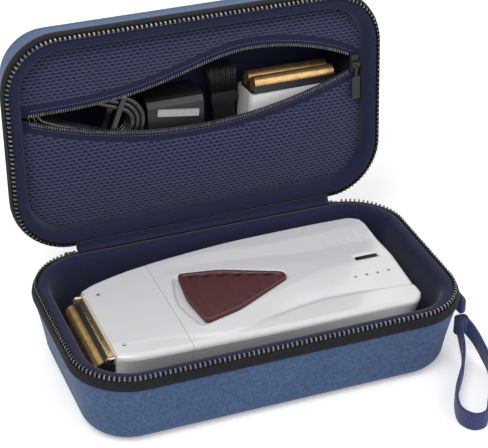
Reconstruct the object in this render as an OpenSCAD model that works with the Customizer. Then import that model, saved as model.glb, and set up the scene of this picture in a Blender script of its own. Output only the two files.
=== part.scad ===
// Moulded zip case for a foil shaver, standing open, with the shaver in its tray
// and the spare head, brush, mains adapter and charging lead in the lid pocket.

/* [Case] */
// Length of the case at the rim
case_l = 200; // [192:1:215]
// Width of the case at the rim
case_w = 114; // [112:1:124]
// Height of the base, from the floor to the mating plane
base_h = 42; // [42:1:50]
// Depth of the lid, from the mating plane to its outer face
lid_h = 38; // [36:1:46]
// Corner radius at the rim
rim_r = 30; // [26:1:34]
// How far the walls lean in between rim and bottom edge
wall_draft = 6; // [4:0.5:8]
// Radius of the outer bottom edge
edge_r = 10; // [7:0.5:12]
// Opening angle of the lid as it stands
open_angle = 96; // [90:1:105]
// Thickness of the moulded foam wall above the bottom
wall_t = 8.4; // [7:0.2:10]
// Thickness of the floor of the tray under the lining
floor_t = 3.5; // [2.5:0.5:5]
// Thickness of the fabric lining
lining_t = 1; // [0.8:0.1:1.2]

/* [Main zip] */
// Distance between neighbouring teeth
tooth_pitch = 2.4; // [2.2:0.1:3]
// Width of a tooth along the zip
tooth_w = 0.8; // [0.6:0.1:0.9]
// Height of the woven tape round the rim
tape_h = 6; // [5:0.5:7]
// How far a tooth reaches over the mating plane
tooth_reach = 0.7; // [0.4:0.1:0.9]
// Half the length of the fabric hinge at the back
hinge_half = 66; // [50:1:70]

/* [Wrist strap] */
// Width of the webbing
strap_w = 10; // [8:0.5:12]
// Thickness of the webbing
strap_t = 1.6; // [1.2:0.1:2]

/* [Shaver] */
// Room between the end of the case and the shaver's tail
tail_room = 20; // [18:1:24]
// Room between the end of the case and the shaver's head, for the foils
nose_room = 24; // [22:1:28]
// Length of the removable head shell
head_l = 36; // [30:1:38]
// Half the width of the shaver at its tail
tail_hw = 38.5; // [36:0.5:39]
// Half the width of the shaver at the foils
nose_hw = 29; // [28:0.5:31]
// Thickness of the shaver
shaver_t = 33; // [31:0.5:34]
// Height of the parting line above the underside
parting = 16; // [14:0.5:18]
// Wall of the shaver's covers
cover_t = 2; // [1.6:0.2:2.4]
// Roundness of the long edges
cover_r = 5; // [4:0.5:6]
// Travel of the thumb switch
switch_travel = 4; // [3:0.5:5]
// Length of the thumb switch
switch_l = 52; // [46:1:54]
// Half the width of the thumb switch at its wide end
switch_hw = 19.5; // [17:0.5:21]
// Radius of a foil's arch
foil_r = 4.4; // [4:0.1:4.8]
// Length of a foil
foil_l = 50; // [46:1:52]
// Distance between the two foils
foil_pitch = 10.4; // [10:0.1:11]
// Diameter of the motor
motor_d = 20; // [18:0.5:22]
// Diameter of the battery
battery_d = 14; // [13:0.5:16]

/* [Pocket and its contents] */
// Height of the pocket zip above the hinge at its ends
mouth_v = 71; // [68:1:74]
// How far the lower edge of the mouth sags
mouth_sag = 18; // [12:1:20]
// How far the upper edge of the mouth lifts
mouth_lift = 17; // [10:1:18]
// Thickness of the pocket fabric
panel_t = 0.8; // [0.6:0.1:1]
// Distance between neighbouring teeth of the pocket zip
pocket_pitch = 2; // [1.8:0.1:2.4]
// Diameter of the charging lead
lead_d = 2.6; // [2.4:0.1:2.6]
// Turns of the lead side by side in its hank
hank_rings = 3; // [2:1:3]
// Layers of the lead in its hank
hank_layers = 4; // [2:2:4]
// Straight run of the hank
hank_run = 36; // [34:1:37]

/* [Hidden] */
$fn = 48;
// Clearance between pieces that move past each other
gap = 0.3;
// Points on each corner arc of a case ring
corner_n = 10;
// Distance of the hinge line behind the rim's outer edge
hinge_out = 0.2;
hinge_y = case_w / 2 + hinge_out;
hinge_z = base_h;
// Insets of the zip, counted from the rim's outer edge
tape_in = 0.2;
tape_t = 1.2;
tooth_in = 1.5;
tooth_depth = 1.8;
tooth_fit = 0.15;
lip_in = tooth_in + tooth_depth + 0.2;
// Floor of the tray, on the lining
tray_z = floor_t + lining_t;
// Shaver frame: its tail is at shaver_x, its head joint at body_x, its underside at shaver_z
shaver_x = case_l / 2 - tail_room;
nose_x = nose_room - case_l / 2;
body_x = nose_x + head_l;
shaver_z = tray_z + gap;
top_z = shaver_z + shaver_t;
part_z = shaver_z + parting;
// Thumb switch: its right tip, the stem under it and the depth of its recess
switch_x = body_x + 64.5;
stem_x = switch_x - 33.5;
panel_h = 1.2;
switch_t = 1.8;
// Foil block in front of the head: its reach, its wall beside the foils and its fit in the head
carrier_l = 5;
carrier_wall = 1.6;
carrier_fit = 0.4;
carrier_hw = foil_l / 2 + carrier_wall;
head_hw = max(nose_hw, carrier_hw + carrier_fit + cover_t);
foil_z = shaver_z + shaver_t / 2 + 1;
foil_press = 1.2;
// Colours
blue = [0.29, 0.42, 0.62];
navy = [0.11, 0.12, 0.28];
black = [0.05, 0.05, 0.05];
white = [0.85, 0.85, 0.86];
gold = [0.78, 0.62, 0.35];
steel = [0.7, 0.7, 0.72];
maroon = [0.4, 0.22, 0.22];

// Lofts through rings of points

// One ring of the case: a rounded rectangle, inset by d, at height z
function case_ring(d, z) = [
    for (k = [0:3]) for (i = [0:corner_n])
        let (a = 90 * k + 90 * i / corner_n, sx = (k == 0 || k == 3) ? 1 : -1, sy = k < 2 ? 1 : -1)
        [sx * (case_l / 2 - rim_r) + (rim_r - d) * cos(a),
         sy * (case_w / 2 - rim_r) + (rim_r - d) * sin(a), z]
];

// Faces between consecutive rings of n points
function side_faces(count, n) = [
    for (j = [0:count - 2]) for (i = [0:n - 1])
        let (a = j * n + i, b = j * n + (i + 1) % n)
        each [[a, a + n, b + n], [a, b + n, b]]
];

// Solid through rings, closed by a flat face at each end
module loft(rings) {
    n = len(rings[0]);
    m = len(rings);
    polyhedron(
        points = [for (r = rings) each r],
        faces = concat(
            [[for (i = [0:n - 1]) i]],
            side_faces(m, n),
            [[for (i = [n - 1:-1:0]) (m - 1) * n + i]]));
}

// Solid ring through rings of which the last joins the first again
module loft_ring(rings) {
    n = len(rings[0]);
    m = len(rings);
    polyhedron(
        points = [for (r = rings) each r],
        faces = [
            for (j = [0:m - 1]) for (i = [0:n - 1])
                let (k = (i + 1) % n, a = j * n, b = ((j + 1) % m) * n)
                each [[a + i, b + i, b + k], [a + i, b + k, a + k]]
        ]);
}

// Profiles of the case halves, as [inset, height], for a half of height h
function outer_profile(h) = [
    for (t = [0:22.5:90]) [wall_draft + edge_r * (1 - sin(t)), edge_r * (1 - cos(t))],
    [tape_in + 0.6, h - tape_h - 0.05]
];
// Where lining and foam meet, from the rim down to the floor
function core_profile(h) = [
    [lip_in, h - 1.6], [lip_in + 1.8, h - 1.3], [lip_in + 4, h - 2.1], [wall_t, h - 4.5],
    [wall_t + 0.6, h - 9], [wall_t + 1.6, floor_t + 10], [wall_t + 3.6, floor_t + 3.6],
    [wall_t + 8.6, floor_t]
];
function lining_profile(h) = [
    [lip_in, h - 1.6 + lining_t], [lip_in + 2, h - 1.3 + lining_t],
    [lip_in + 4.6, h - 2.2 + lining_t], [wall_t + lining_t, h - 4.2],
    [wall_t + 0.6 + lining_t, h - 9], [wall_t + 1.6 + lining_t, floor_t + 10.4],
    [wall_t + 3.6 + lining_t, floor_t + 3.8 + lining_t * 0.7], [wall_t + 8.8, floor_t + lining_t]
];
function rings_of(profile) = [for (p = profile) case_ring(p[0], p[1])];
function backwards(list) = [for (i = [len(list) - 1:-1:0]) list[i]];

module foam_shell(h) {
    tape_seat = [[tape_in + tape_t, h - tape_h - 0.05], [tape_in + tape_t, h - 3.4]];
    color(blue) loft(rings_of(concat(outer_profile(h), tape_seat, core_profile(h))));
}

module fabric_lining(h) {
    color(navy) loft(rings_of(concat(backwards(core_profile(h)), lining_profile(h))));
}

// Woven tape: upright outside the foam, then leaning in towards the teeth
module zip_tape(h) {
    color(black) loft_ring(rings_of([
        [tape_in, h - tape_h], [tape_in, h - 3.6], [tooth_in - 0.6, h - 1.4],
        [tooth_in - tooth_fit, h - 1.4], [tooth_in - tooth_fit, h - 3.3],
        [tape_in + tape_t - 0.1, h - 3.45], [tape_in + tape_t - 0.1, h - tape_h]
    ]));
}

// Path of the teeth: round the left end, the front and the right end
path_r = rim_r - tooth_in;
side_x = case_l - 2 * rim_r;
side_y = case_w - 2 * rim_r;
arc_l = path_r * PI / 2;
path_l = 4 * arc_l + 2 * side_y + side_x;

// Point and heading at distance s along the path, as [x, y, angle of the outward normal]
function path_at(s) =
    let (cx = side_x / 2, cy = side_y / 2, r = path_r)
    s < arc_l ? let (a = 90 + 90 * s / arc_l) [-cx + r * cos(a), cy + r * sin(a), a] :
    s < arc_l + side_y ? [-cx - r, cy - (s - arc_l), 180] :
    s < 2 * arc_l + side_y ?
        let (a = 180 + 90 * (s - arc_l - side_y) / arc_l) [-cx + r * cos(a), -cy + r * sin(a), a] :
    s < 2 * arc_l + side_y + side_x ? [-cx + (s - 2 * arc_l - side_y), -cy - r, 270] :
    s < 3 * arc_l + side_y + side_x ?
        let (a = 270 + 90 * (s - 2 * arc_l - side_y - side_x) / arc_l)
            [cx + r * cos(a), -cy + r * sin(a), a] :
    s < 3 * arc_l + 2 * side_y + side_x ? [cx + r, -cy + (s - 3 * arc_l - side_y - side_x), 0] :
    let (a = 90 * (s - 3 * arc_l - 2 * side_y - side_x) / arc_l) [cx + r * cos(a), cy + r * sin(a), a];

// One tooth: a foot clamped on the tape and a narrower head over the mating plane
module tooth() {
    rotate([90, 0, 0])
        linear_extrude(height = tooth_w, center = true)
            polygon([[0, -3.1], [0, -0.5], [-0.4, tooth_reach], [-tooth_depth + 0.4, tooth_reach],
                     [-tooth_depth, -1.4]]);
}

module zip_teeth(h, phase) {
    count = floor(path_l / tooth_pitch) - 1;
    color(steel) for (i = [0:count - 1]) {
        at = path_at((i + 0.5 + phase) * tooth_pitch);
        translate([at[0], at[1], h]) rotate([0, 0, at[2]]) tooth();
    }
}

// Places children of the lid's own frame: x along the hinge, y away from it, z out of the opening
module in_lid() {
    translate([0, hinge_y, hinge_z]) rotate([180 - open_angle, 0, 0]) children();
}
module lid_half() {
    in_lid() translate([0, hinge_y, -lid_h]) children();
}

module base_shell() { foam_shell(base_h); }
module base_lining() { fabric_lining(base_h); }
module base_zip_tape() { zip_tape(base_h); }
module base_zip_teeth() { zip_teeth(base_h, 0); }
module lid_shell() { lid_half() foam_shell(lid_h); }
module lid_lining() { lid_half() fabric_lining(lid_h); }
module lid_zip_tape() { lid_half() zip_tape(lid_h); }
module lid_zip_teeth() { lid_half() mirror([0, 1, 0]) zip_teeth(lid_h, 0.5); }

// Fabric hinge: one flap on the back of each half, joined by the flexible fold between them
module hinge_flap(h) {
    y = case_w / 2 - tape_in;
    color(blue) translate([-hinge_half, y, h - tape_h])
        cube([2 * hinge_half, 0.6, tape_h - 0.8]);
}
module hinge_flap_base() { hinge_flap(base_h); }
module hinge_flap_lid() { lid_half() mirror([0, 1, 0]) hinge_flap(lid_h); }

// Zip sliders parked at the ends of the zip, beside the fabric hinge
slider_x = hinge_half + 5.2;
slider_y = case_w / 2 - tape_in;
module zip_slider(side) {
    color(steel) translate([side * slider_x, slider_y, base_h - 8]) {
        translate([-4, 0, 0]) cube([8, 2.4, 5]);
        for (x = [-2.6, 1.4]) translate([x, 2.4, 2]) cube([1.2, 2.6, 2.2]);
        translate([-1.4, 3.9, 3.1]) rotate([0, 90, 0]) cylinder(d = 1.2, h = 2.8);
    }
}
module zip_pull(side) {
    color(steel) translate([side * slider_x, slider_y + 3.9, base_h - 4.9]) difference() {
        union() {
            translate([-1.1, -0.6, -14]) cube([2.2, 1.2, 14]);
            translate([-1.1, 0, 0]) rotate([0, 90, 0]) cylinder(d = 2.6, h = 2.2);
            translate([-2.4, -0.6, -16]) cube([4.8, 1.2, 9]);
        }
        translate([-2, 0, 0]) rotate([0, 90, 0]) cylinder(d = 1.2 + 0.12, h = 4);
    }
}
module zip_slider_left() { zip_slider(-1); }
module zip_slider_right() { zip_slider(1); }
module zip_pull_left() { zip_pull(-1); }
module zip_pull_right() { zip_pull(1); }

// Wrist strap: a sewn tab on the right end and a loop of webbing standing on its edge
tab_y = -34;
tab_z = 24;
tab_x = case_l / 2 - 2.6;
module strap_tab() {
    color(navy) translate([tab_x, tab_y - 5, tab_z]) difference() {
        cube([4.6, 10, 9]);
        translate([-1, -1, -1]) cube([2.6, 12, 11]);
    }
    color(navy) translate([tab_x + 1.6, tab_y, tab_z - 3.4]) cylinder(d = 2.4, h = 3.4);
}

// Frames of the webbing: [x, y, z, heading of its flat face's normal]
strap_path = [
    [1.9, -3.2, 18, -10], [1.4, -8, 13.5, -15], [0.2, -14, 8.6, -22], [-4, -22, 5.6, -30],
    [-10.5, -31, 5.2, -34], [-17, -40, 5.2, -32], [-21.5, -50, 5.2, -14], [-22, -56.5, 5.2, 10],
    [-18.5, -61.5, 5.2, 56], [-13, -61.5, 5.2, 110], [-9, -57, 5.2, 138], [-2, -46, 5.2, 148],
    [5, -35, 5.2, 150], [9, -26, 5.4, 158], [10, -17, 7.6, 172], [8.6, -9, 12.6, 190],
    [5, -3.4, 18, 200]
];
module wrist_strap() {
    color(navy) translate([tab_x, tab_y, 0]) {
        h = strap_w / 2;
        loft([for (p = strap_path) let (c = cos(p[3]) * strap_t / 2, s = sin(p[3]) * strap_t / 2)
            [[p[0] + c, p[1] + s, p[2] + h], [p[0] - c, p[1] - s, p[2] + h],
             [p[0] - c, p[1] - s, p[2] - h], [p[0] + c, p[1] + s, p[2] - h]]]);
        translate([1.6, 0, 0]) difference() {
            union() {
                translate([0, 0, 14]) cylinder(d = 6.6, h = 6.2);
                translate([-1.2, -5, 13.2]) cube([5.6, 5, 9]);
            }
            translate([0, 0, 10]) cylinder(d = 2.4 + 2 * gap, h = 14);
            translate([-4, -3.3, 20.3]) cube([9, 7, 3]);
        }
    }
}

// Lid pocket: two panels of netting with a zip between them, drawn in the lid's frame
pocket_w = -7;
pocket_in = wall_t + 1.5;
pocket_hx = case_l / 2 - pocket_in;
pocket_r = rim_r - pocket_in;
pocket_lo = hinge_out + pocket_in;
pocket_hi = hinge_out + case_w - pocket_in;
function corner_rise(x) =
    abs(x) <= pocket_hx - pocket_r ? 0 :
    pocket_r - sqrt(max(0, pow(pocket_r, 2) - pow(abs(x) - pocket_hx + pocket_r, 2)));
function low_edge(x) = mouth_v - mouth_sag * (1 - pow(x / pocket_hx, 2));
function lift_at(t) = t < 0.66 ? pow(sin(180 * pow(t, 1.7)), 2) : pow(max(0, cos(265 * (t - 0.66))), 0.7);
function high_edge(x) = mouth_v + 1.2 + mouth_lift * lift_at((x + pocket_hx) / (2 * pocket_hx));
zip_band = 6;
function bulge(x, t) = 3.4 * (1 - pow(x / pocket_hx, 4)) * sin(180 * t);
columns = [for (i = [0:28]) pocket_hx * sin(-90 + 180 * i / 28)];

// Closed skin over a grid: rows of points in front, and the same set back by the thickness
module skin(rows, t) {
    n = len(rows[0]);
    m = len(rows);
    front = [for (r = rows) each r];
    rear = [for (p = front) p - [0, 0, t]];
    o = n * m;
    polyhedron(points = concat(front, rear), faces = concat(
        [for (j = [0:m - 2]) for (i = [0:n - 2]) let (a = j * n + i)
            each [[a, a + n, a + n + 1], [a, a + n + 1, a + 1]]],
        [for (j = [0:m - 2]) for (i = [0:n - 2]) let (a = o + j * n + i)
            each [[a, a + n + 1, a + n], [a, a + 1, a + n + 1]]],
        [for (i = [0:n - 2]) each [[i, i + 1, o + i + 1], [i, o + i + 1, o + i]]],
        [for (i = [0:n - 2]) let (a = (m - 1) * n + i) each [[a, o + a + 1, a + 1], [a, o + a, o + a + 1]]],
        [for (j = [0:m - 2]) let (a = j * n, b = a + n) each [[a, o + a, o + b], [a, o + b, b]]],
        [for (j = [0:m - 2]) let (a = j * n + n - 1, b = a + n) each [[a, b, o + b], [a, o + b, o + a]]]));
}
module pocket_skin(low, high, lift, t) {
    rows = [for (j = [0:6]) [for (i = [0:len(columns) - 1]) let (x = columns[i], f = j / 6)
        [x, low[i] + (high[i] - low[i]) * f, pocket_w + lift * bulge(x, f)]]];
    skin(rows, t);
}
module pocket_lower_panel() {
    color(navy) in_lid() pocket_skin(
        [for (x = columns) pocket_lo + corner_rise(x)],
        [for (x = columns) low_edge(x) - zip_band], 1, panel_t);
}
module pocket_upper_panel() {
    color(navy) in_lid() pocket_skin(
        [for (x = columns) high_edge(x) + zip_band],
        [for (x = columns) pocket_hi - corner_rise(x)], 0.3, panel_t);
}

// Woven band with its teeth along one edge of the mouth; dir points from the band into the mouth
module mouth_zip(edge, dir) {
    band = [for (i = [0:len(columns) - 1]) edge[i] - dir * zip_band];
    rows = dir > 0 ? [band, edge] : [edge, band];
    color(navy) skin([for (r = rows) [for (i = [0:len(columns) - 1]) [columns[i], r[i], pocket_w]]], panel_t);
}
module pocket_teeth(edge_of, dir) {
    first = 4 - pocket_hx;
    count = floor((pslide_x - 2 - gap - pocket_pitch / 4 - first) / pocket_pitch);
    color(steel) for (i = [0:count]) {
        x = first + i * pocket_pitch;
        v = call_edge(edge_of, x);
        translate([x - pocket_pitch / 4, dir > 0 ? v - 1.4 : v + 0.1, pocket_w])
            cube([pocket_pitch / 2, 1.3, 0.9]);
    }
}
function call_edge(which, x) = which == "low" ? low_edge(x) : high_edge(x);
module pocket_zip_lower() {
    in_lid() {
        mouth_zip([for (x = columns) low_edge(x)], 1);
        pocket_teeth("low", 1);
    }
}
module pocket_zip_upper() {
    in_lid() {
        mouth_zip([for (x = columns) high_edge(x)], -1);
        pocket_teeth("high", -1);
    }
}
pslide_x = pocket_hx - 3.4;
pslide_v = (low_edge(pslide_x) + high_edge(pslide_x)) / 2;
module pocket_zip_slider() {
    color(steel) in_lid() translate([pslide_x, pslide_v, pocket_w]) {
        translate([-2, -4.5, 0.02]) cube([4, 9, 1.8]);
        for (x = [-1.9, 0.9]) translate([x, -1.4, 1.8]) cube([1, 2.8, 2.2]);
        translate([-0.95, 0, 3]) rotate([0, 90, 0]) cylinder(d = 1.1, h = 1.9);
    }
}
module pocket_zip_pull() {
    color(steel) in_lid() translate([pslide_x, pslide_v, pocket_w + 3]) difference() {
        union() {
            translate([-0.55, -17, -0.5]) cube([1.1, 17, 1]);
            translate([-0.55, 0, 0]) rotate([0, 90, 0]) cylinder(d = 2.4, h = 1.1);
            translate([-2.2, -19, -0.5]) cube([4.4, 12, 1]);
        }
        translate([-1, 0, 0]) rotate([0, 90, 0]) cylinder(d = 1.1 + 0.12, h = 2);
    }
}

// Contents of the pocket, lying on the lining of the lid
lid_floor = -lid_h + floor_t + lining_t;
spare_x = case_l / 2 - 43;
spare_v = 37;
spare_t = 22;
spare_hw = foil_l / 2 + 2;
// One ring across the long axis of a head: rounded rectangle, in the plane of its foils
function head_ring(p, hw, lo, hi, r) = [
    for (k = [0:3]) for (i = [0:5])
        let (a = 90 * k + 18 * i, sy = (k == 0 || k == 3) ? 1 : -1, sz = k < 2 ? 1 : -1)
        [p, sy * (hw - r) + r * cos(a), (sz > 0 ? hi - r : lo + r) + r * sin(a)]
];
module spare_head_shell() {
    color(white) in_lid() translate([spare_x, spare_v, lid_floor]) rotate([0, 0, -90]) mirror([0, 1, 0])
        loft([
            head_ring(-2, spare_hw - 2.5, 3, spare_t - 3, 3),
            head_ring(-24, spare_hw - 3, 2, spare_t - 2, 2),
            head_ring(-24, spare_hw - 1.5, 0.4, spare_t - 0.4, 3),
            head_ring(-12, spare_hw - 0.5, 0, spare_t, 4),
            head_ring(0, spare_hw, 0, spare_t, 5)
        ]);
}
module spare_foil_carrier() {
    color(black) in_lid() translate([spare_x, spare_v + 20, lid_floor + spare_t / 2])
        difference() {
            translate([-foil_l / 2 + 2, 0, -8.5]) cube([foil_l - 4, 8, 17]);
            for (s = [-1, 1]) translate([-foil_l / 2, 3, s * 4.4 - 3.9]) cube([foil_l, 8, 7.8]);
        }
}
module spare_foils() {
    color(gold) in_lid() translate([spare_x, spare_v + 20, lid_floor + spare_t / 2])
        for (s = [-1, 1]) translate([0, 8, s * 4.4]) rotate([0, 90, 0])
            translate([0, 0, -foil_l / 2 + 3]) linear_extrude(height = foil_l - 6) {
                difference() {
                    circle(r = 3.9);
                    circle(r = 3.5);
                    translate([-5, -10]) square([10, 10]);
                }
                for (m = [-1, 1]) translate([m > 0 ? 3.5 : -3.9, -5]) square([0.4, 5]);
            }
}
brush_l = 41.5;
brush_w = 12;
brush_t = 7;
collar_l = 6;
bristle_l = 15;
brush_x = spare_x - 35;
brush_v = 18.5;
module brush_handle() {
    color(black) in_lid() translate([brush_x, brush_v, lid_floor]) {
        translate([-brush_w / 2, 0, 0]) cube([brush_w, brush_l, brush_t]);
        translate([-brush_w / 2 - 1, brush_l - collar_l, 0]) cube([brush_w + 2, collar_l, brush_t + 1]);
    }
}
module brush_bristles() {
    color(black) in_lid() translate([brush_x, brush_v + brush_l, lid_floor + 1.8])
        for (i = [0:5]) for (j = [0:2]) translate([2.3 * (i - 2.5), 0, 2.4 * j])
            rotate([-90, 0, 0]) cylinder(d = 1.9, h = bristle_l - 0.5 * abs(i - 2), $fn = 16);
}
adapter_x = brush_x - 31;
adapter_v = 24;
adapter_l = 43;
adapter_t = 21;
module adapter_body() {
    color(black) in_lid() translate([adapter_x, adapter_v, lid_floor]) {
        translate([-15, 0, 0]) cube([30, adapter_l - 4, adapter_t]);
        translate([0, adapter_l - 4, 0]) rotate([0, -90, 0]) linear_extrude(height = 30, center = true)
            polygon([[0, 0], [adapter_t, 0], [adapter_t - 1.5, 3], [adapter_t - 4, 4], [0, 4]]);
    }
}
module adapter_latch() {
    color([0.55, 0.55, 0.56]) in_lid()
        translate([adapter_x + 1, adapter_v + adapter_l - 8, lid_floor + adapter_t])
        rotate([0, 0, -8]) translate([-11, -1.8, 0]) cube([22, 3.6, 1.2]);
}
module adapter_pins() {
    color(steel) in_lid() translate([adapter_x, adapter_v - 10, lid_floor + adapter_t / 2]) {
        for (s = [-1, 1]) translate([s * 6.5 - 0.8, 0, -3]) cube([1.6, 10, 6]);
    }
}
module adapter_relief() {
    color(black) in_lid() translate([adapter_x - 15, 34, lid_floor + 10.5]) rotate([0, -90, 0])
        cylinder(d1 = 6, d2 = 4, h = 7);
}

// Charging lead: straight out of the adapter, then wound in a hank held by a tie
hank_x = 43 - case_l / 2;
hank_v = 66;
hank_tilt = -22;
hank_in = 6.5;
hank_out = hank_in + hank_rings * lead_d + (hank_rings - 1) * 0.15;
hank_t = hank_layers * lead_d + (hank_layers - 1) * 0.15;
hank_w0 = pocket_w - 3 - hank_t;
module in_hank() {
    in_lid() translate([hank_x, hank_v, hank_w0]) rotate([0, 0, hank_tilt]) children();
}
module racetrack(r, h) {
    linear_extrude(height = h) {
        for (s = [-1, 1]) translate([s * hank_run / 2, 0]) circle(r = r);
        translate([-hank_run / 2, -r]) square([hank_run, 2 * r]);
    }
}
module lead_hank() {
    color(black) in_hank() difference() {
        racetrack(hank_out, hank_t);
        translate([0, 0, -1]) racetrack(hank_in, hank_t + 2);
    }
}
tie_x = hank_run / 2 - 2;
module lead_tie() {
    o = hank_out + 1.4;
    color(black) in_hank() translate([tie_x - 1.6, 0, 0]) difference() {
        translate([0, -o, -1.3]) cube([3.2, 2 * o, hank_t + 2.6]);
        translate([-1, -hank_out, 0]) cube([6, 2 * hank_out, hank_t]);
    }
}

// Tube through hand-set points, with rings across the local direction
function unit(v) = v / norm(v);
module tube(points, d) {
    n = len(points);
    loft([for (i = [0:n - 1])
        let (t = unit(points[min(i + 1, n - 1)] - points[max(i - 1, 0)]),
             u = unit(cross(t, [0.13, 0.21, 0.97])), w = cross(t, u))
        [for (k = [0:7]) points[i] + d / 2 * (cos(45 * k) * u + sin(45 * k) * w)]]);
}
tail_path = [
    [adapter_x - 22, 34, lid_floor + 10.5], [adapter_x - 27, 34, lid_floor + 10.5],
    [adapter_x - 33, 34.6, lid_floor + 10.3], [adapter_x - 39, 35.8, lid_floor + 10.4],
    [adapter_x - 44.5, 38, lid_floor + 10.8], [adapter_x - 49.2, 41.2, lid_floor + 11.6],
    [adapter_x - 51.8, 45, hank_w0 + 0.7], [adapter_x - 50.4, 48.7, hank_w0 + 1.2]
];
plug_x = hank_x - 19;
end_path = [
    [plug_x - 6, 58.4, hank_w0 + 4.3], [plug_x - 4.2, 55, lid_floor + 12.4],
    [plug_x - 2.4, 52.6, lid_floor + 8], [plug_x - 0.7, 50.6, lid_floor + 4.6],
    [plug_x, 49, lid_floor + 3.5], [plug_x, 47.6, lid_floor + 3.5]
];
module lead_tail() { color(black) in_lid() tube(tail_path, lead_d); }
module lead_end() { color(black) in_lid() tube(end_path, lead_d); }
module lead_plug() {
    color(black) in_lid() translate([plug_x, 21.6, lid_floor]) {
        translate([-3.5, 0, 0]) cube([7, 18, 7]);
        translate([0, 18, 3.5]) rotate([-90, 0, 0]) cylinder(d = 4, h = 8);
    }
}

// Shaver: plan outline of its body from the head joint to the tail, inset by d, at height z
tail_r = 18;
function half_w(x) = head_hw + (tail_hw - head_hw) * (x - nose_x) / (shaver_x - tail_r - nose_x);
function body_half(d) = concat(
    [for (i = [0:7]) let (a = 12 * i)
        [shaver_x - tail_r + (tail_r - d) * cos(a), tail_hw - tail_r + (tail_r - d) * sin(a)]],
    [[(body_x + 12) + d, half_w(body_x + 12) - d], [body_x + d, half_w(body_x) - d]]);
function body_ring(d, z) = concat(
    [for (p = body_half(d)) [p[0], p[1], z]],
    [for (p = backwards(body_half(d))) if (p[1] > 0) [p[0], -p[1], z]]);
function body_rings(list) = [for (p = list) body_ring(p[0], p[1])];

// Rounded triangle of the thumb switch, grown by e; with q, the room it needs to slide that far
tip_r = 7;
wide_r = 8;
function arc(x, y, r, a, b) = [
    for (i = [0:8]) let (t = a + (b - a) * i / 8) [x + r * cos(t), y + r * sin(t)]
];
function triangle(e, q = 0) =
    let (wide_x = wide_r - switch_l, dx = wide_x + tip_r, dy = switch_hw - wide_r, r = wide_r + e,
         a = atan2(dy, dx) - acos((tip_r - wide_r) / norm([dx, dy])))
    concat(arc(-tip_r, 0, tip_r + e, -a, a),
           q == 0 ? arc(wide_x, dy, r, a, 180)
                  : concat(arc(wide_x, dy, r, a, 90), arc(wide_x - q, dy, r, 90, 180)),
           q == 0 ? arc(wide_x, -dy, r, 180, 360 - a)
                  : concat(arc(wide_x - q, -dy, r, 180, 270), arc(wide_x, -dy, r, 270, 360 - a)));

motor_z = shaver_z + shaver_t / 2;
module drive_hole() {
    translate([nose_x + 20, 0, foil_z]) rotate([0, 90, 0]) cylinder(r = 3.6, h = body_x - nose_x - 10);
}
light_x = shaver_x - 18.4;
light_y = 6.8;
light_l = 12;
light_w = 2.2;
module light_slot() {
    translate([light_x, light_y, top_z - 4]) cube([light_l, light_w, 8]);
}
module upper_cover() {
    color(white) difference() {
        loft(body_rings([
            [cover_t + 3, top_z - cover_t], [cover_t, top_z - cover_t - 3], [cover_t, part_z],
            [0, part_z], [0, top_z - cover_r], [cover_r * 0.13, top_z - cover_r * 0.5],
            [cover_r * 0.5, top_z - cover_r * 0.13], [cover_r, top_z]]));
        translate([stem_x - switch_travel, -4, top_z - 6]) cube([8 + switch_travel, 8, 8]);
        light_slot();
        drive_hole();
    }
}
// Raised panel round the switch, running back to the tail
module top_panel() {
    color(white) difference() {
        translate([0, 0, top_z]) linear_extrude(height = panel_h)
            polygon(concat(arc(switch_x - switch_l, 0, switch_hw + 4.5, 90, 270),
                [[switch_x - 14.5, -22], [shaver_x - 44, -24]], arc(shaver_x - 33, 0, 24, -75, 75),
                [[shaver_x - 44, 24], [switch_x - 14.5, 22]]));
        translate([switch_x, 0, top_z - 1]) linear_extrude(height = 4)
            polygon(triangle(0.5, switch_travel));
        light_slot();
    }
}
// Motor, battery and board, counted from the head joint and from the tail
motor_x = body_x + 9;
motor_l = 34;
motor_fit = 0.1;
battery_x = motor_x + motor_l + 7;
battery_l = shaver_x - 20 - battery_x;
board_l = 60;
board_w = 24;
board_x = shaver_x - 72;
board_z = shaver_z + cover_t + 6;
screw_spots = [[body_x + 10, 24], [body_x + 10, -24], [shaver_x - 16, 24], [shaver_x - 16, -24]];
module lower_cover() {
    floor_z = shaver_z + cover_t;
    color([0.5, 0.5, 0.52]) difference() {
        union() {
            loft(body_rings([
                [cover_r, shaver_z], [cover_r * 0.5, shaver_z + cover_r * 0.13],
                [cover_r * 0.13, shaver_z + cover_r * 0.5], [0, shaver_z + cover_r], [0, part_z],
                [cover_t, part_z], [cover_t, floor_z + 3], [cover_t + 3, floor_z]]));
            for (x = [motor_x + 6, motor_x + 28]) translate([x, -motor_d / 2 - 1, floor_z - 0.5])
                cube([3, motor_d + 2, 9]);
            for (x = [board_x + 6, board_x + 54]) translate([x, 26, floor_z - 0.5])
                cylinder(d = 6, h = 6.5);
            for (p = screw_spots) translate([p[0], p[1], floor_z - 0.5]) cylinder(d = 7, h = 6);
        }
        translate([motor_x - 2, 0, motor_z]) rotate([0, 90, 0])
            cylinder(d = motor_d + 2 * motor_fit, h = motor_l + 16);
        translate([shaver_x - 10, -5, floor_z + 2]) cube([12, 10, 6]);
        for (p = screw_spots) translate([p[0], p[1], shaver_z - 1]) cylinder(d = 5, h = 2.8);
        drive_hole();
    }
}
module cover_screws() {
    color(steel) for (p = screw_spots) translate([p[0], p[1], shaver_z + 0.3]) difference() {
        cylinder(d = 5, h = 1.5);
        translate([-2, -0.4, -1]) cube([4, 0.8, 1.6]);
    }
}
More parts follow.
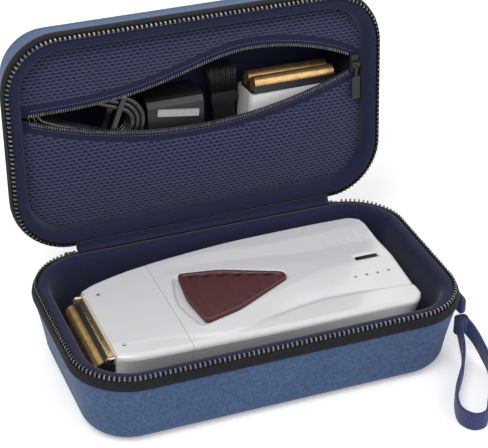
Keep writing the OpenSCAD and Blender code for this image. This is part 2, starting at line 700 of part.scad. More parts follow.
module head_shell() {
    color(white) difference() {
        loft([
            head_ring(body_x - 0.05 - cover_t, half_w(body_x) - cover_t,
                      shaver_z + cover_t, top_z - cover_t, 3),
            head_ring(nose_x, head_hw - cover_t, shaver_z + 3.4, top_z - 3.4, 1.5),
            head_ring(nose_x, head_hw, shaver_z + 1.4, top_z - 1.4, 5),
            head_ring(body_x - 6, half_w(body_x - 6), shaver_z, top_z, 5),
            head_ring(body_x - 0.05, half_w(body_x), shaver_z, top_z, 5)
        ]);
        drive_hole();
        for (y = [-22, 22]) translate([nose_x + 6.5, y, top_z - 1.2]) cylinder(d = 1.8, h = 3);
    }
}
slot_h = foil_r + gap;
module foil_carrier() {
    color(black) difference() {
        union() {
            translate([nose_x - carrier_l, -carrier_hw, foil_z - foil_pitch / 2 - slot_h - 1])
                cube([carrier_l + 12, 2 * carrier_hw, foil_pitch + 2 * slot_h + 2]);
            translate([nose_x + 1, -head_hw + cover_t + carrier_fit, foil_z - 8])
                cube([6, 2 * (head_hw - cover_t - carrier_fit), 16]);
        }
        for (s = [-1, 1])
            translate([nose_x - carrier_l - 1, -foil_l / 2 - gap, foil_z + s * foil_pitch / 2 - slot_h])
            cube([carrier_l + 9, foil_l + 2 * gap, 2 * slot_h]);
        translate([nose_x + 7.9, -8, foil_z - 9]) cube([6, 16, 18]);
    }
}
module foil(s) {
    color(gold) translate([nose_x - carrier_l, foil_l / 2, foil_z + s * foil_pitch / 2]) rotate([90, 0, 0])
        linear_extrude(height = foil_l) {
            difference() {
                circle(r = foil_r);
                circle(r = foil_r - 0.3);
                translate([0, -10]) square([20, 20]);
            }
            for (m = [0, 1]) translate([-0.001, m > 0 ? foil_r - 0.3 : -foil_r]) square([carrier_l, 0.3]);
        }
}
module cutter(s) {
    r = foil_r - 0.3 - gap;
    color(steel) translate([nose_x - carrier_l, 0, foil_z + s * foil_pitch / 2]) difference() {
        translate([0, foil_l / 2 - 3, 0]) rotate([90, 0, 0])
            linear_extrude(height = foil_l - 6) difference() {
            union() {
                circle(r = r);
                translate([0, -r]) square([2.4, 2 * r]);
            }
            translate([2.4, -r - 1]) square([5, 2 * r + 2]);
        }
        translate([-0.8, 0, 0]) rotate([0, 90, 0]) cylinder(r = 1.7, h = 6);
        for (i = [0:14]) if (abs(i - 7) > 1)
            translate([-5, -20.9 + 3 * (i - 0.5) + 0.2, -5]) cube([4, 1.2, 10]);
    }
}
module foil_upper() { foil(1); }
module foil_lower() { foil(-1); }
module cutter_upper() { cutter(1); }
module cutter_lower() { cutter(-1); }
module drive_fork() {
    x = nose_x - carrier_l;
    color(black) {
        for (s = [-1, 1]) translate([x + 0.7, 0, foil_z + s * foil_pitch / 2]) rotate([0, 90, 0])
            cylinder(r = 1.3, h = nose_x + 10 - x);
        translate([nose_x + 8.6, -3, foil_z - foil_pitch / 2 - 2]) cube([3, 6, foil_pitch + 4]);
        translate([nose_x + 9, 0, foil_z]) rotate([0, 90, 0]) cylinder(r = 2.2, h = body_x - nose_x - 3);
    }
}
module thumb_switch() {
    z = top_z + gap;
    color(maroon) {
        translate([switch_x, 0, z]) linear_extrude(height = switch_t) polygon(triangle(0));
        translate([0, 0, z + switch_t - 0.1]) intersection() {
            translate([switch_x, 0, 0]) linear_extrude(height = 0.9) polygon(triangle(-2.4));
            translate([34, 0, 0]) linear_extrude(height = 2) for (i = [0:5]) difference() {
                circle(r = 22 + 7 * i);
                circle(r = 20.4 + 7 * i);
            }
        }
        difference() {
            translate([switch_x, 0, z + switch_t - 0.1]) linear_extrude(height = 0.7) polygon(triangle(0));
            translate([switch_x, 0, z]) linear_extrude(height = 6) polygon(triangle(-1.6));
        }
        translate([stem_x + 0.8, -3, top_z - 5]) cube([6, 6, 5 + gap]);
    }
}
module charge_light() {
    color(black) translate([light_x, light_y, top_z - 1.8]) cube([light_l, light_w, 2.9]);
}
module motor() {
    color(steel) translate([motor_x, 0, motor_z]) rotate([0, 90, 0]) {
        cylinder(d = motor_d, h = motor_l);
        translate([0, 0, motor_l]) cylinder(d = 6, h = 3);
    }
}
module battery() {
    color([0.2, 0.35, 0.3]) translate([battery_x, -16, shaver_z + cover_t + battery_d / 2])
        rotate([0, 90, 0]) cylinder(d = battery_d, h = battery_l);
}
module circuit_board() {
    color([0.1, 0.35, 0.2]) translate([board_x, 8, board_z]) cube([board_l, board_w, 1.6]);
}
module charge_socket() {
    color(black) translate([shaver_x - 10, -5, shaver_z + cover_t + 2]) difference() {
        cube([9.6, 10, 6]);
        translate([4, 1.6, 1.4]) cube([8, 6.8, 3.2]);
    }
}

base_shell();
base_lining();
base_zip_tape();
base_zip_teeth();
hinge_flap_base();
strap_tab();
wrist_strap();
zip_slider_left();
zip_slider_right();
zip_pull_left();
zip_pull_right();
lid_shell();
lid_lining();
lid_zip_tape();
lid_zip_teeth();
hinge_flap_lid();
pocket_upper_panel();
pocket_lower_panel();
pocket_zip_upper();
pocket_zip_lower();
pocket_zip_slider();
pocket_zip_pull();
spare_head_shell();
spare_foil_carrier();
spare_foils();
brush_handle();
brush_bristles();
adapter_body();
adapter_latch();
adapter_pins();
adapter_relief();
lead_tail();
lead_hank();
lead_tie();
lead_end();
lead_plug();
upper_cover();
top_panel();
lower_cover();
head_shell();
foil_carrier();
foil_upper();
foil_lower();
cutter_upper();
cutter_lower();
drive_fork();
thumb_switch();
charge_light();
motor();
battery();
circuit_board();
charge_socket();
cover_screws();
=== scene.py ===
import math
import random

import bpy
import numpy as np
from mathutils import Matrix, Vector


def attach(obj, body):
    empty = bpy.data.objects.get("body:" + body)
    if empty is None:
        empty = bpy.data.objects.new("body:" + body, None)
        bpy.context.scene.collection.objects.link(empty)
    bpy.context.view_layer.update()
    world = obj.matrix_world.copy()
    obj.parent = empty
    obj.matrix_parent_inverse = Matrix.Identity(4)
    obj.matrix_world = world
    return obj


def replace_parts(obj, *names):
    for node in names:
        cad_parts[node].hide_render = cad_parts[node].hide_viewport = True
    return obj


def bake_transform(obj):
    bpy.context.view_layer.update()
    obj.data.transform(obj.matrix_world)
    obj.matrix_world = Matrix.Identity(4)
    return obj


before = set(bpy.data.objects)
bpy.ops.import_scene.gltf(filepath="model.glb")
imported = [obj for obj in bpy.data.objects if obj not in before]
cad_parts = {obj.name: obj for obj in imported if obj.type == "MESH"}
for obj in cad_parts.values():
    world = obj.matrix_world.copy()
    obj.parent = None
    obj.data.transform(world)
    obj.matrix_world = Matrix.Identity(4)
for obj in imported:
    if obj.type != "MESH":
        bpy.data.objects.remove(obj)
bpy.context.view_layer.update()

MM = 0.001
random.seed(7)

# Sizes of the case, in millimetres, as in the part's source
CASE_L, CASE_W, BASE_H, LID_H = 200.0, 114.0, 42.0, 38.0
RIM_R, DRAFT, EDGE_R = 30.0, 6.0, 10.0
WALL_T, FLOOR_T, LINING_T = 8.4, 3.5, 1.0
TAPE_IN, TAPE_T, TAPE_H = 0.2, 1.2, 6.0
TOOTH_IN, TOOTH_DEPTH = 1.5, 1.8
LIP_IN = TOOTH_IN + TOOTH_DEPTH + 0.2
HINGE_OUT, HINGE_HALF, OPEN_ANGLE = 0.2, 66.0, 96.0
HINGE_Y, HINGE_Z = CASE_W / 2 + HINGE_OUT, BASE_H
TILT = math.radians(180 - OPEN_ANGLE)
LID_FLOOR = -LID_H + FLOOR_T + LINING_T

# Pocket in the lid
MOUTH_V, MOUTH_SAG, MOUTH_LIFT = 71.0, 18.0, 17.0
MOUTH_TURN, MOUTH_EASE, MOUTH_FALL = 0.66, 1.7, 265
POCKET_W, PANEL_T, ZIP_BAND, HEM_LAP = -7.0, 0.8, 6.0, 0.4
POCKET_IN = WALL_T + 1.5
POCKET_HX = CASE_L / 2 - POCKET_IN
POCKET_R = RIM_R - POCKET_IN
POCKET_LO = HINGE_OUT + POCKET_IN
POCKET_HI = HINGE_OUT + CASE_W - POCKET_IN

# Shaver in the tray
TRAY_Z = FLOOR_T + LINING_T
SHAVER_Z = TRAY_Z + 0.3
SHAVER_T = 33.0
SHAVER_X, TAIL_R, TAIL_HW, NOSE_HW, NOSE_X = 80.0, 18.0, 38.5, 29.0, -76.0

# Lead
LEAD_GAP, PLUG_X = 0.15, -76.0
LEAD_D, HANK_RUN, HANK_RINGS, HANK_LAYERS, HANK_IN = 2.6, 36.0, 3, 4, 6.5
HANK_X, HANK_V, HANK_TILT = -57.0, 66.0, math.radians(-22)
HANK_OUT = HANK_IN + HANK_RINGS * LEAD_D + (HANK_RINGS - 1) * LEAD_GAP
HANK_T = HANK_LAYERS * LEAD_D + (HANK_LAYERS - 1) * LEAD_GAP
HANK_W0 = POCKET_W - 3 - HANK_T
ADAPTER_X = -9.0


def lid_points(p):
    """Points (x, v, w) of the lid's frame, in millimetres, as points of the scene in metres."""
    x, v, w = np.moveaxis(np.asarray(p, float), -1, 0)
    c, s = math.cos(TILT), math.sin(TILT)
    return np.stack([x, HINGE_Y + v * c - w * s, HINGE_Z + v * s + w * c], axis=-1) * MM


# Node helpers
class Nodes:
    """A short way to build the node tree of a new material, or of the world."""

    def __init__(self, name, world=None):
        self.mat = world or bpy.data.materials.new(name)
        self.mat.use_nodes = True
        self.tree = self.mat.node_tree
        self.shader = self.tree.nodes["Background" if world else "Principled BSDF"]

    def feed(self, socket, value):
        """Links another node's output to a socket, or sets the socket's value."""
        if isinstance(value, bpy.types.NodeSocket):
            self.tree.links.new(value, socket)
        else:
            socket.default_value = value

    def add(self, kind, inputs=None, **settings):
        node = self.tree.nodes.new(kind)
        for key, value in settings.items():
            setattr(node, key, value)
        for key, value in (inputs or {}).items():
            self.feed(node.inputs[key], value)
        return node

    def math(self, operation, a, b=0.0):
        return self.add("ShaderNodeMath", {0: a, 1: b}, operation=operation).outputs[0]

    def mix(self, factor, a, b):
        return self.add("ShaderNodeMix", {0: factor, 6: a, 7: b}, data_type="RGBA").outputs[2]

    def place(self):
        return self.add("ShaderNodeTexCoord").outputs["Object"]

    def noise(self, scale, detail=2.0, rough=0.5):
        inputs = {"Vector": self.place(), "Scale": scale, "Detail": detail, "Roughness": rough}
        return self.add("ShaderNodeTexNoise", inputs).outputs[0]

    def spread(self, value, low, high, to_low=0.0, to_high=1.0):
        node = self.add("ShaderNodeMapRange", {"Value": value, "From Min": low, "From Max": high,
                                               "To Min": to_low, "To Max": to_high})
        return node.outputs[0]

    def bump(self, height, strength, distance):
        node = self.add("ShaderNodeBump", {"Height": height, "Strength": strength, "Distance": distance})
        self.tree.links.new(node.outputs[0], self.shader.inputs["Normal"])

    def set(self, **values):
        for key, value in values.items():
            self.feed(self.shader.inputs[key.replace("_", " ")], value)
        return self.mat


def rgb(r, g, b):
    return (r, g, b, 1.0)


def woven(name, dark, light, thread, strength=0.35, rough=0.85, sheen=0.25, streak=0.5):
    """Plain-woven cloth: threads both ways, uneven yarn and a soft sheen. thread is its pitch in metres."""
    n = Nodes(name)
    spot = n.place()
    scale = 0.314 / thread
    lean = {"Vector": spot, "Axis": (0.3, 0.2, 0.93), "Angle": 0.6}
    turned = n.add("ShaderNodeVectorRotate", lean).outputs[0]
    waves = {"Scale": scale, "Distortion": 1.2, "Detail": 1.0, "Detail Scale": 2.0}
    weft = n.add("ShaderNodeTexWave", {"Vector": spot, **waves}, bands_direction="Z").outputs[1]
    warp = n.add("ShaderNodeTexWave", {"Vector": turned, **waves}, bands_direction="X").outputs[1]
    cross = n.math("MULTIPLY", n.math("ADD", weft, warp), 0.5)
    yarn = n.noise(0.5 / thread, 3.0, rough=0.7)
    broad = n.noise(28.0, 2.0)
    mixed = n.math("ADD", n.math("MULTIPLY", cross, 1 - streak), n.math("MULTIPLY", yarn, streak))
    colour = n.mix(n.spread(mixed, 0.3, 0.72), dark, light)
    shade = n.mix(n.spread(broad, 0.3, 0.7, 0.0, 0.18), colour, dark)
    n.bump(mixed, strength, thread * 0.4)
    return n.set(Base_Color=shade, Roughness=rough, Sheen_Weight=sheen, Sheen_Roughness=0.5,
                 Specular_IOR_Level=0.25)


def moulded(name, colour, other, rough, grain=900.0, strength=0.04, coat=0.0, specular=0.5):
    """Moulded plastic with a faint grain and a slightly uneven gloss."""
    n = Nodes(name)
    fine = n.noise(grain, 2.0)
    shade = n.mix(n.spread(fine, 0.3, 0.7), colour, other)
    n.bump(fine, strength, 0.0002)
    return n.set(Base_Color=shade, Roughness=n.spread(fine, 0.3, 0.7, rough * 0.95, rough * 1.05),
                 Coat_Weight=coat, Coat_Roughness=0.08, Specular_IOR_Level=specular)


def metal(name, colour, other, rough, scale=400.0, strength=0.1):
    """Bright metal with fine wear."""
    n = Nodes(name)
    wear = n.noise(scale, 4.0, rough=0.7)
    shade = n.mix(n.spread(wear, 0.35, 0.65), colour, other)
    n.bump(wear, strength, 0.0002)
    return n.set(Base_Color=shade, Metallic=1.0,
                 Roughness=n.spread(wear, 0.3, 0.7, rough * 0.7, rough * 1.3))


def foil_gold(name):
    """Gold-coloured foil with rows of tiny perforations."""
    n = Nodes(name)
    pattern = {"Vector": n.place(), "Scale": 1500.0, "Randomness": 0.3}
    holes = n.add("ShaderNodeTexVoronoi", pattern).outputs[0]
    grime = n.noise(220.0, 4.0)
    # The perforations are painted dark brown as painted shade seen through the holes.
    mask = n.spread(holes, 0.18, 0.42)
    colour = n.mix(mask, rgb(0.10, 0.05, 0.02), rgb(0.72, 0.47, 0.20))
    shade = n.mix(n.spread(grime, 0.4, 0.7, 0.0, 0.6), colour, rgb(0.36, 0.20, 0.08))
    n.bump(holes, 0.5, 0.0002)
    return n.set(Base_Color=shade, Metallic=0.85, Roughness=0.38)


def netting(name):
    """Warp-knitted netting, placed by the panel's map: rows of slanted holes painted near-black as painted
    shade, between navy threads with a painted highlight on their upper side.
    """
    n = Nodes(name)
    uv = n.add("ShaderNodeUVMap", uv_map="cloth").outputs[0]
    parts = n.add("ShaderNodeSeparateXYZ", {"Vector": uv})
    across, up = parts.outputs[0], parts.outputs[1]
    row = n.math("FLOOR", n.math("DIVIDE", up, NET_ROW))
    shift = n.math("MULTIPLY", n.math("MODULO", row, 2.0), 0.5)
    u = n.math("SUBTRACT", n.math("FRACT", n.math("ADD", n.math("DIVIDE", across, NET_CELL), shift)), 0.5)
    t = n.math("SUBTRACT", n.math("FRACT", n.math("DIVIDE", up, NET_ROW)), 0.5)
    slant = n.math("ADD", u, n.math("MULTIPLY", t, 0.22))
    far = n.math("ADD", *(n.math("POWER", n.math("ABSOLUTE", n.math("DIVIDE", part, radius)), 2.0)
                          for part, radius in ((slant, 0.40), (t, 0.36))))
    thread = n.spread(far, 0.55, 1.1)
    # Painted highlight: each thread is lighter towards the upper side of its row, as though lit from above;
    # glint is its colour.
    lit = n.math("MULTIPLY", thread, n.spread(t, -0.1, 0.5, 0.25, 1.0))
    fibre = n.noise(1500.0, 3.0)
    base = n.mix(n.spread(fibre, 0.3, 0.7), rgb(0.009, 0.010, 0.042), rgb(0.020, 0.023, 0.082))
    glint = n.mix(n.math("MULTIPLY", lit, n.spread(fibre, 0.2, 0.8, 0.4, 1.0)), base,
                  rgb(0.055, 0.065, 0.165))
    # The holes are painted near-black: painted shade for the space behind the netting.
    colour = n.mix(thread, rgb(0.003, 0.003, 0.010), glint)
    n.bump(thread, 0.8, 0.0004)
    return n.set(Base_Color=colour, Roughness=0.8, Sheen_Weight=0.2, Specular_IOR_Level=0.25)


NET_CELL, NET_ROW = 3.3, 1.8
BLUE = woven("shell_cloth", rgb(0.026, 0.052, 0.125), rgb(0.075, 0.138, 0.275), 0.0009, 0.4, 0.9, 0.1, 0.85)
NAVY = woven("lining_cloth", rgb(0.003, 0.005, 0.020), rgb(0.010, 0.014, 0.050), 0.0006, 0.35, 0.9, 0.12)
BLACK_TAPE = woven("zip_tape", rgb(0.003, 0.003, 0.005), rgb(0.014, 0.014, 0.019), 0.0008, 0.5, 0.9, 0.04)
WEBBING = woven("webbing", rgb(0.014, 0.022, 0.085), rgb(0.05, 0.07, 0.20), 0.0011, 0.9, 0.8, 0.2, 0.25)
NETTING = netting("netting")
THREAD = woven("thread", rgb(0.03, 0.035, 0.12), rgb(0.07, 0.08, 0.2), 0.0003)
TEETH = metal("zip_teeth", rgb(0.30, 0.29, 0.28), rgb(0.12, 0.12, 0.12), 0.35)
STEEL = metal("steel", rgb(0.70, 0.70, 0.72), rgb(0.5, 0.5, 0.52), 0.3)
GOLD = foil_gold("foil_gold")
RAIL = metal("gold_rail", rgb(0.95, 0.76, 0.42), rgb(0.72, 0.50, 0.22), 0.25)
CREAM = metal("cream_metal", rgb(0.85, 0.78, 0.60), rgb(0.70, 0.62, 0.45), 0.3)
LENS = moulded("smoke_lens", rgb(0.003, 0.003, 0.003), rgb(0.005, 0.005, 0.005), 0.4, 900.0, 0.01, 0.0, 0.2)
WHITE = moulded("white_plastic", rgb(0.62, 0.62, 0.64), rgb(0.63, 0.63, 0.648), 0.26, 1200.0, 0.02, 0.35)
# The lower cover is white plastic like the top; this grey is painted shade for its side faces, which are lit
# less than the top.
PAINTED_SHADE_GREY = moulded("grey_plastic", rgb(0.15, 0.15, 0.16), rgb(0.2, 0.2, 0.21), 0.35, 900.0, 0.06, 0.2)
BLACK = moulded("black_plastic", rgb(0.008, 0.008, 0.009), rgb(0.016, 0.016, 0.018), 0.42, 1500.0, 0.15)
RUBBER = moulded("lead_rubber", rgb(0.010, 0.010, 0.011), rgb(0.02, 0.02, 0.021), 0.25, 800.0, 0.05, 0.3)
BRISTLE = moulded("bristle", rgb(0.012, 0.012, 0.013), rgb(0.035, 0.035, 0.037), 0.4, 3000.0, 0.2)
MAROON = moulded("switch_maroon", rgb(0.055, 0.013, 0.015), rgb(0.078, 0.022, 0.024), 0.5, 2400.0, 0.25)
LATCH = moulded("pale_grey", rgb(0.30, 0.30, 0.31), rgb(0.38, 0.38, 0.39), 0.4)
GREEN = moulded("board_green", rgb(0.02, 0.12, 0.05), rgb(0.03, 0.15, 0.07), 0.4)
CELL = moulded("cell_wrap", rgb(0.03, 0.10, 0.09), rgb(0.04, 0.12, 0.1), 0.35)


# Mesh helpers
def finish_piece(obj, material, body, smooth=True, angle=None):
    """Gives a new mesh object its material, smooth shading and body."""
    obj.data.materials.append(material)
    if smooth:
        obj.data.polygons.foreach_set("use_smooth", [True] * len(obj.data.polygons))
        if angle is not None:
            obj.data.set_sharp_from_angle(angle=math.radians(angle))
    obj.data.update()
    if body:
        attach(obj, body)
    return obj


def link_new(name, data):
    obj = bpy.data.objects.new(name, data)
    bpy.context.scene.collection.objects.link(obj)
    return obj


def new_object(name, points, faces):
    mesh = bpy.data.meshes.new(name)
    mesh.from_pydata(np.asarray(points, float).tolist(), [], faces)
    mesh.validate()
    return link_new(name, mesh)


def grid_faces(rows, count, ring_rows=False, ring_count=False, start=0, flip=False):
    """Quads of a grid of points; either direction may close on itself."""
    faces = []
    for j in range(rows if ring_rows else rows - 1):
        low, high = start + j * count, start + (j + 1) % rows * count
        for i in range(count if ring_count else count - 1):
            m = (i + 1) % count
            quad = [low + i, low + m, high + m, high + i]
            faces.append(quad[::-1] if flip else quad)
    return faces


def loft(name, rings, closed=False):
    """A solid through closed rings of points: capped at both ends, or closed on itself."""
    rings = np.asarray(rings)
    rows, count = rings.shape[:2]
    faces = grid_faces(rows, count, closed, True)
    if not closed:
        faces.append(list(range(count))[::-1])
        faces.append([(rows - 1) * count + i for i in range(count)])
    return new_object(name, rings.reshape(-1, 3), faces)


def boxes(name, solids, material, body, place):
    """One piece of many small boxes: each has four points below, then four above; place puts them."""
    faces = []
    for start in range(0, 8 * len(solids), 8):
        a, b, c, d, e, f, g, h = range(start, start + 8)
        faces += [[d, c, b, a], [e, f, g, h], [a, b, f, e], [b, c, g, f], [c, d, h, g], [d, a, e, h]]
    obj = new_object(name, place(np.array(solids, float).reshape(-1, 3)), faces)
    return finish_piece(obj, material, body, smooth=False)


def soft_ring(count, half_u, half_v, power_u, power_v):
    """Points (u, v) round a softened box: the smaller the powers, the squarer its sides."""
    ring = []
    for i in range(count):
        a = 2 * math.pi * i / count
        c, s = math.cos(a), math.sin(a)
        ring.append((half_u * math.copysign(abs(c) ** power_u, c),
                     half_v * math.copysign(abs(s) ** power_v, s)))
    return ring


def skin(name, front, back, uv=None):
    """A closed sheet between two grids of points."""
    rows, count = front.shape[:2]
    size = rows * count
    points = np.concatenate([front.reshape(-1, 3), back.reshape(-1, 3)])
    faces = grid_faces(rows, count) + grid_faces(rows, count, start=size, flip=True)
    rim = list(range(count)) + [j * count + count - 1 for j in range(1, rows)]
    rim += [(rows - 1) * count + i for i in range(count - 2, -1, -1)]
    rim += [j * count for j in range(rows - 2, 0, -1)]
    for k, a in enumerate(rim):
        b = rim[(k + 1) % len(rim)]
        faces.append([b, a, a + size, b + size])
    obj = new_object(name, points, faces)
    if uv is not None:
        flat = np.concatenate([uv.reshape(-1, 2)] * 2)
        layer = obj.data.uv_layers.new(name="cloth")
        for loop in obj.data.loops:
            layer.data[loop.index].uv = flat[loop.vertex_index]
    return obj


def case_ring(inset, z, corner=14, side=8):
    """Points round the case at one height: a rounded rectangle, in millimetres."""
    pts = []
    hx, hy, r = CASE_L / 2 - RIM_R, CASE_W / 2 - RIM_R, RIM_R - inset
    centres = [(hx, hy), (-hx, hy), (-hx, -hy), (hx, -hy)]
    for k, (cx, cy) in enumerate(centres):
        nx, ny = centres[(k + 1) % 4]
        for i in range(corner + 1):
            a = math.radians(90 * k + 90 * i / corner)
            pts.append((cx + r * math.cos(a), cy + r * math.sin(a), z))
        for i in range(1, side):
            f = i / side
            pts.append((cx + (nx - cx) * f + r * math.cos(a), cy + (ny - cy) * f + r * math.sin(a), z))
    return pts


def smooth_profile(points, steps=4):
    """Catmull-Rom curve through profile points."""
    p = [np.array(q, float) for q in points]
    p = [2 * p[0] - p[1]] + p + [2 * p[-1] - p[-2]]
    out = []
    for k in range(1, len(p) - 2):
        for i in range(steps):
            t = i / steps
            a, b, c, d = p[k - 1], p[k], p[k + 1], p[k + 2]
            out.append(0.5 * (2 * b + (c - a) * t + (2 * a - 5 * b + 4 * c - d) * t ** 2
                              + (3 * b - a - 3 * c + d) * t ** 3))
    out.append(p[-2])
    return out


def core_profile(h):
    return [(LIP_IN, h - 1.6), (LIP_IN + 1.8, h - 1.3), (LIP_IN + 4, h - 2.1), (WALL_T, h - 4.5),
            (WALL_T + 0.6, h - 9), (WALL_T + 1.6, FLOOR_T + 10), (WALL_T + 3.6, FLOOR_T + 3.6),
            (WALL_T + 8.6, FLOOR_T)]


def lining_profile(h):
    t = LINING_T
    return [(LIP_IN, h - 1.6 + t), (LIP_IN + 2, h - 1.3 + t), (LIP_IN + 4.6, h - 2.2 + t),
            (WALL_T + t, h - 4.2), (WALL_T + 0.6 + t, h - 9), (WALL_T + 1.6 + t, FLOOR_T + 10.4),
            (WALL_T + 3.6 + t, FLOOR_T + 3.8 + t * 0.7), (WALL_T + 8.8, FLOOR_T + t)]


def half_piece(name, rings, lid, material, angle=None, closed=False):
    """A piece of a case half through rings of points, moved to the base's place or the lid's."""
    p = np.array(rings, float)
    obj = loft(name, lid_points(p + (0, HINGE_Y, -LID_H)) if lid else p * MM, closed)
    return finish_piece(obj, material, "lid" if lid else "base", angle=angle)


def zip_strip(name, section, lid):
    """A strip of constant section round the rim: section holds (inset, height) points."""
    rings = [case_ring(inset, z, 16, 24) for inset, z in section[::-1]]
    return half_piece(name, rings, lid, BLACK_TAPE, 60, True)


def shell(name, h, lid):
    """Cloth-covered foam shell, with a faint hollow in each wall and a rounded edge round the bottom."""
    bend = [math.radians(10 * i) for i in range(10)]
    profile = [(DRAFT + EDGE_R * (1 - math.sin(a)), EDGE_R * (1 - math.cos(a))) for a in bend]
    top = h - TAPE_H - 0.05
    for i in range(9):
        f = i / 8
        profile.append((DRAFT + (TAPE_IN + 0.6 - DRAFT) * f + 0.25 * math.sin(math.pi * f),
                        EDGE_R + (top - EDGE_R) * f))
    profile += [(TAPE_IN + TAPE_T, top), (TAPE_IN + TAPE_T, h - 3.4)] + core_profile(h)
    return half_piece(name, [case_ring(d, z) for d, z in profile], lid, BLUE, 50)


def lining(name, h, lid):
    """Brushed lining: a padded lip beside the zip, soft walls and a slightly uneven floor."""
    inner = smooth_profile(lining_profile(h), 5)
    rings = [case_ring(d, z) for d, z in core_profile(h)[::-1]]
    rings += [case_ring(d, z) for d, z in inner]
    floor_in = WALL_T + 8.8
    for f in (0.25, 0.5, 0.8):
        ring = np.array(case_ring(floor_in, FLOOR_T + LINING_T))
        ring[:, :2] *= 1 - f
        ring[:, 2] += 0.12 * np.sin(ring[:, 0] * 0.11) * np.cos(ring[:, 1] * 0.17) - 0.1
        rings.append(ring)
    p = np.array(rings, float)
    wave = 0.18 * np.sin(p[..., 0] * 0.23 + p[..., 2] * 0.4) * np.sin(p[..., 1] * 0.19 + 1.0)
    inner_rows = slice(len(core_profile(h)) + 8, None)
    p[inner_rows, :, 2] += np.minimum(0, wave[inner_rows]) * 0.5
    return half_piece(name, p, lid, NAVY)


def zip_tape(name, h, lid):
    """Ribbed binding round the rim, with its folded edge towards the teeth."""
    rounded = [(TAPE_IN + 0.06, h - TAPE_H), (TAPE_IN - 0.1, h - TAPE_H + 0.8), (TAPE_IN - 0.15, h - 4.6),
               (TAPE_IN, h - 3.6), (TAPE_IN + 0.35, h - 2.5), (TOOTH_IN - 0.6, h - 1.5),
               (TOOTH_IN - 0.3, h - 1.3), (TOOTH_IN - 0.15, h - 1.5), (TOOTH_IN - 0.15, h - 3.3),
               (TAPE_IN + TAPE_T - 0.1, h - 3.45), (TAPE_IN + TAPE_T - 0.1, h - TAPE_H)]
    return zip_strip(name, rounded, lid)


def zip_bed(name, h, lid):
    """The black cord under the teeth, between the binding and the lip."""
    section = [(1.42, h - 3.3), (1.42, h - 2.2), (2.4, h - 1.7), (3.4, h - 1.75), (3.45, h - 3.3)]
    return zip_strip(name, section, lid)


def build_case():
    for half, h, lid in (("base", BASE_H, False), ("lid", LID_H, True)):
        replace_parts(shell(half + "_cloth", h, lid), half + "_shell")
        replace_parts(lining(half + "_lining_cloth", h, lid), half + "_lining")
        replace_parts(zip_tape(half + "_binding", h, lid), half + "_zip_tape")
        zip_bed(half + "_zip_bed", h, lid)
        repaint(half + "_zip_teeth", TEETH)


def repaint(node, material):
    """Gives a CAD node a procedural material."""
    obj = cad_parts[node]
    obj.data.materials.clear()
    obj.data.materials.append(material)


def strip_along_x(name, path, half, thick, material):
    """A cloth strip of constant section along the hinge: path holds (y, z) points in millimetres."""
    p = np.array(smooth_profile(path, 6))
    tangent = np.gradient(p, axis=0)
    normal = np.stack([-tangent[:, 1], tangent[:, 0]], axis=1)
    normal /= np.linalg.norm(normal, axis=1)[:, None]
    xs = np.linspace(-half, half, 60)
    sides = [[[(x, *a) for x in xs] for a in p + normal * offset] for offset in (thick / 2, -thick / 2)]
    obj = finish_piece(skin(name, *np.array(sides) * MM), material, None)
    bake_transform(obj)
    return obj


def build_hinge():
    """The cloth fold behind the case, and the lining that bridges the two lips inside it."""
    outside = strip_along_x("hinge_fold", [(57.15, 36.2), (57.15, 38.6), (57.2, 40.6), (57.75, 41.45),
                                           (58.9, 41.7), (61.0, 41.55), (63.0, 41.35)],
                            HINGE_HALF, 0.6, BLUE)
    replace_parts(outside, "hinge_flap_base", "hinge_flap_lid")
    strip_along_x("hinge_lining", [(54.2, 41.75), (55.6, 41.85), (56.7, 42.2), (57.25, 43.0),
                                   (57.6, 44.2), (57.75, 45.3)], HINGE_HALF + 3, 0.5, NAVY)


# Pocket
def low_edge(x):
    """The mouth's lower edge: a shallow sag."""
    return MOUTH_V - MOUTH_SAG * (1 - (x / POCKET_HX) ** 2)


def high_edge(x):
    """The mouth's upper edge: an easy rise to its peak at MOUTH_TURN, then a quicker fall."""
    t = (x + POCKET_HX) / (2 * POCKET_HX)
    if t < MOUTH_TURN:
        lift = math.sin(math.pi * max(t, 0) ** MOUTH_EASE) ** 2
    else:
        lift = max(0.0, math.cos(math.radians(MOUTH_FALL * (t - MOUTH_TURN)))) ** 0.7
    return MOUTH_V + 1.2 + MOUTH_LIFT * lift


def corner_rise(x):
    """How far the pocket's edge is drawn in at its rounded corners."""
    over = abs(x) - POCKET_HX + POCKET_R
    return 0.0 if over <= 0 else POCKET_R - math.sqrt(max(0.0, POCKET_R ** 2 - over ** 2))


def bulge(x, f):
    """How far what lies behind pushes the cloth out."""
    return 3.4 * (1 - (x / POCKET_HX) ** 4) * math.sin(math.pi * f)


def panel(name, node, low, high, lift=0.0):
    """Pocket cloth between two edges, each a function of x: lifted netting, or a flat band of lining."""
    rows, wrinkle, material, slot = (34, 0.25, NETTING, "netting") if lift else (9, 0.0, NAVY, "lining")
    columns = 170
    xs = POCKET_HX * np.sin(np.linspace(-math.pi / 2, math.pi / 2, columns))
    front = np.zeros((rows, columns, 3))
    for j in range(rows):
        f = j / (rows - 1)
        for i, x in enumerate(xs):
            a, b = low(x), high(x)
            edge = math.sin(math.pi * f) * (1 - (x / POCKET_HX) ** 8)
            ripple = wrinkle * edge * (math.sin(0.16 * x + 3 * f) + 0.6 * math.sin(0.37 * x - 5 * f + 1))
            front[j, i] = (x, a + (b - a) * f, POCKET_W + lift * bulge(x, f) + ripple)
    back = front - np.array([0, 0, PANEL_T])
    obj = skin(name, lid_points(front), lid_points(back), front[..., :2])
    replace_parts(obj, node)
    return finish_piece(obj, material, "lid")


def seam_row(name, edge, offset, pitch=1.9, length=1.25, thick=0.35, low=-0.1, high=0.28):
    """A row of stitches along an edge of the pocket's cloth."""
    solids = []
    for x in np.arange(5 - POCKET_HX, POCKET_HX - 5, pitch):
        corners = ((x, 0), (x + length, 0), (x + length, thick), (x, thick))
        solids.append([(at, edge(at) + offset + across, POCKET_W + w)
                       for w in (low, high) for at, across in corners])
    return boxes(name, solids, THREAD, "lid", lid_points)


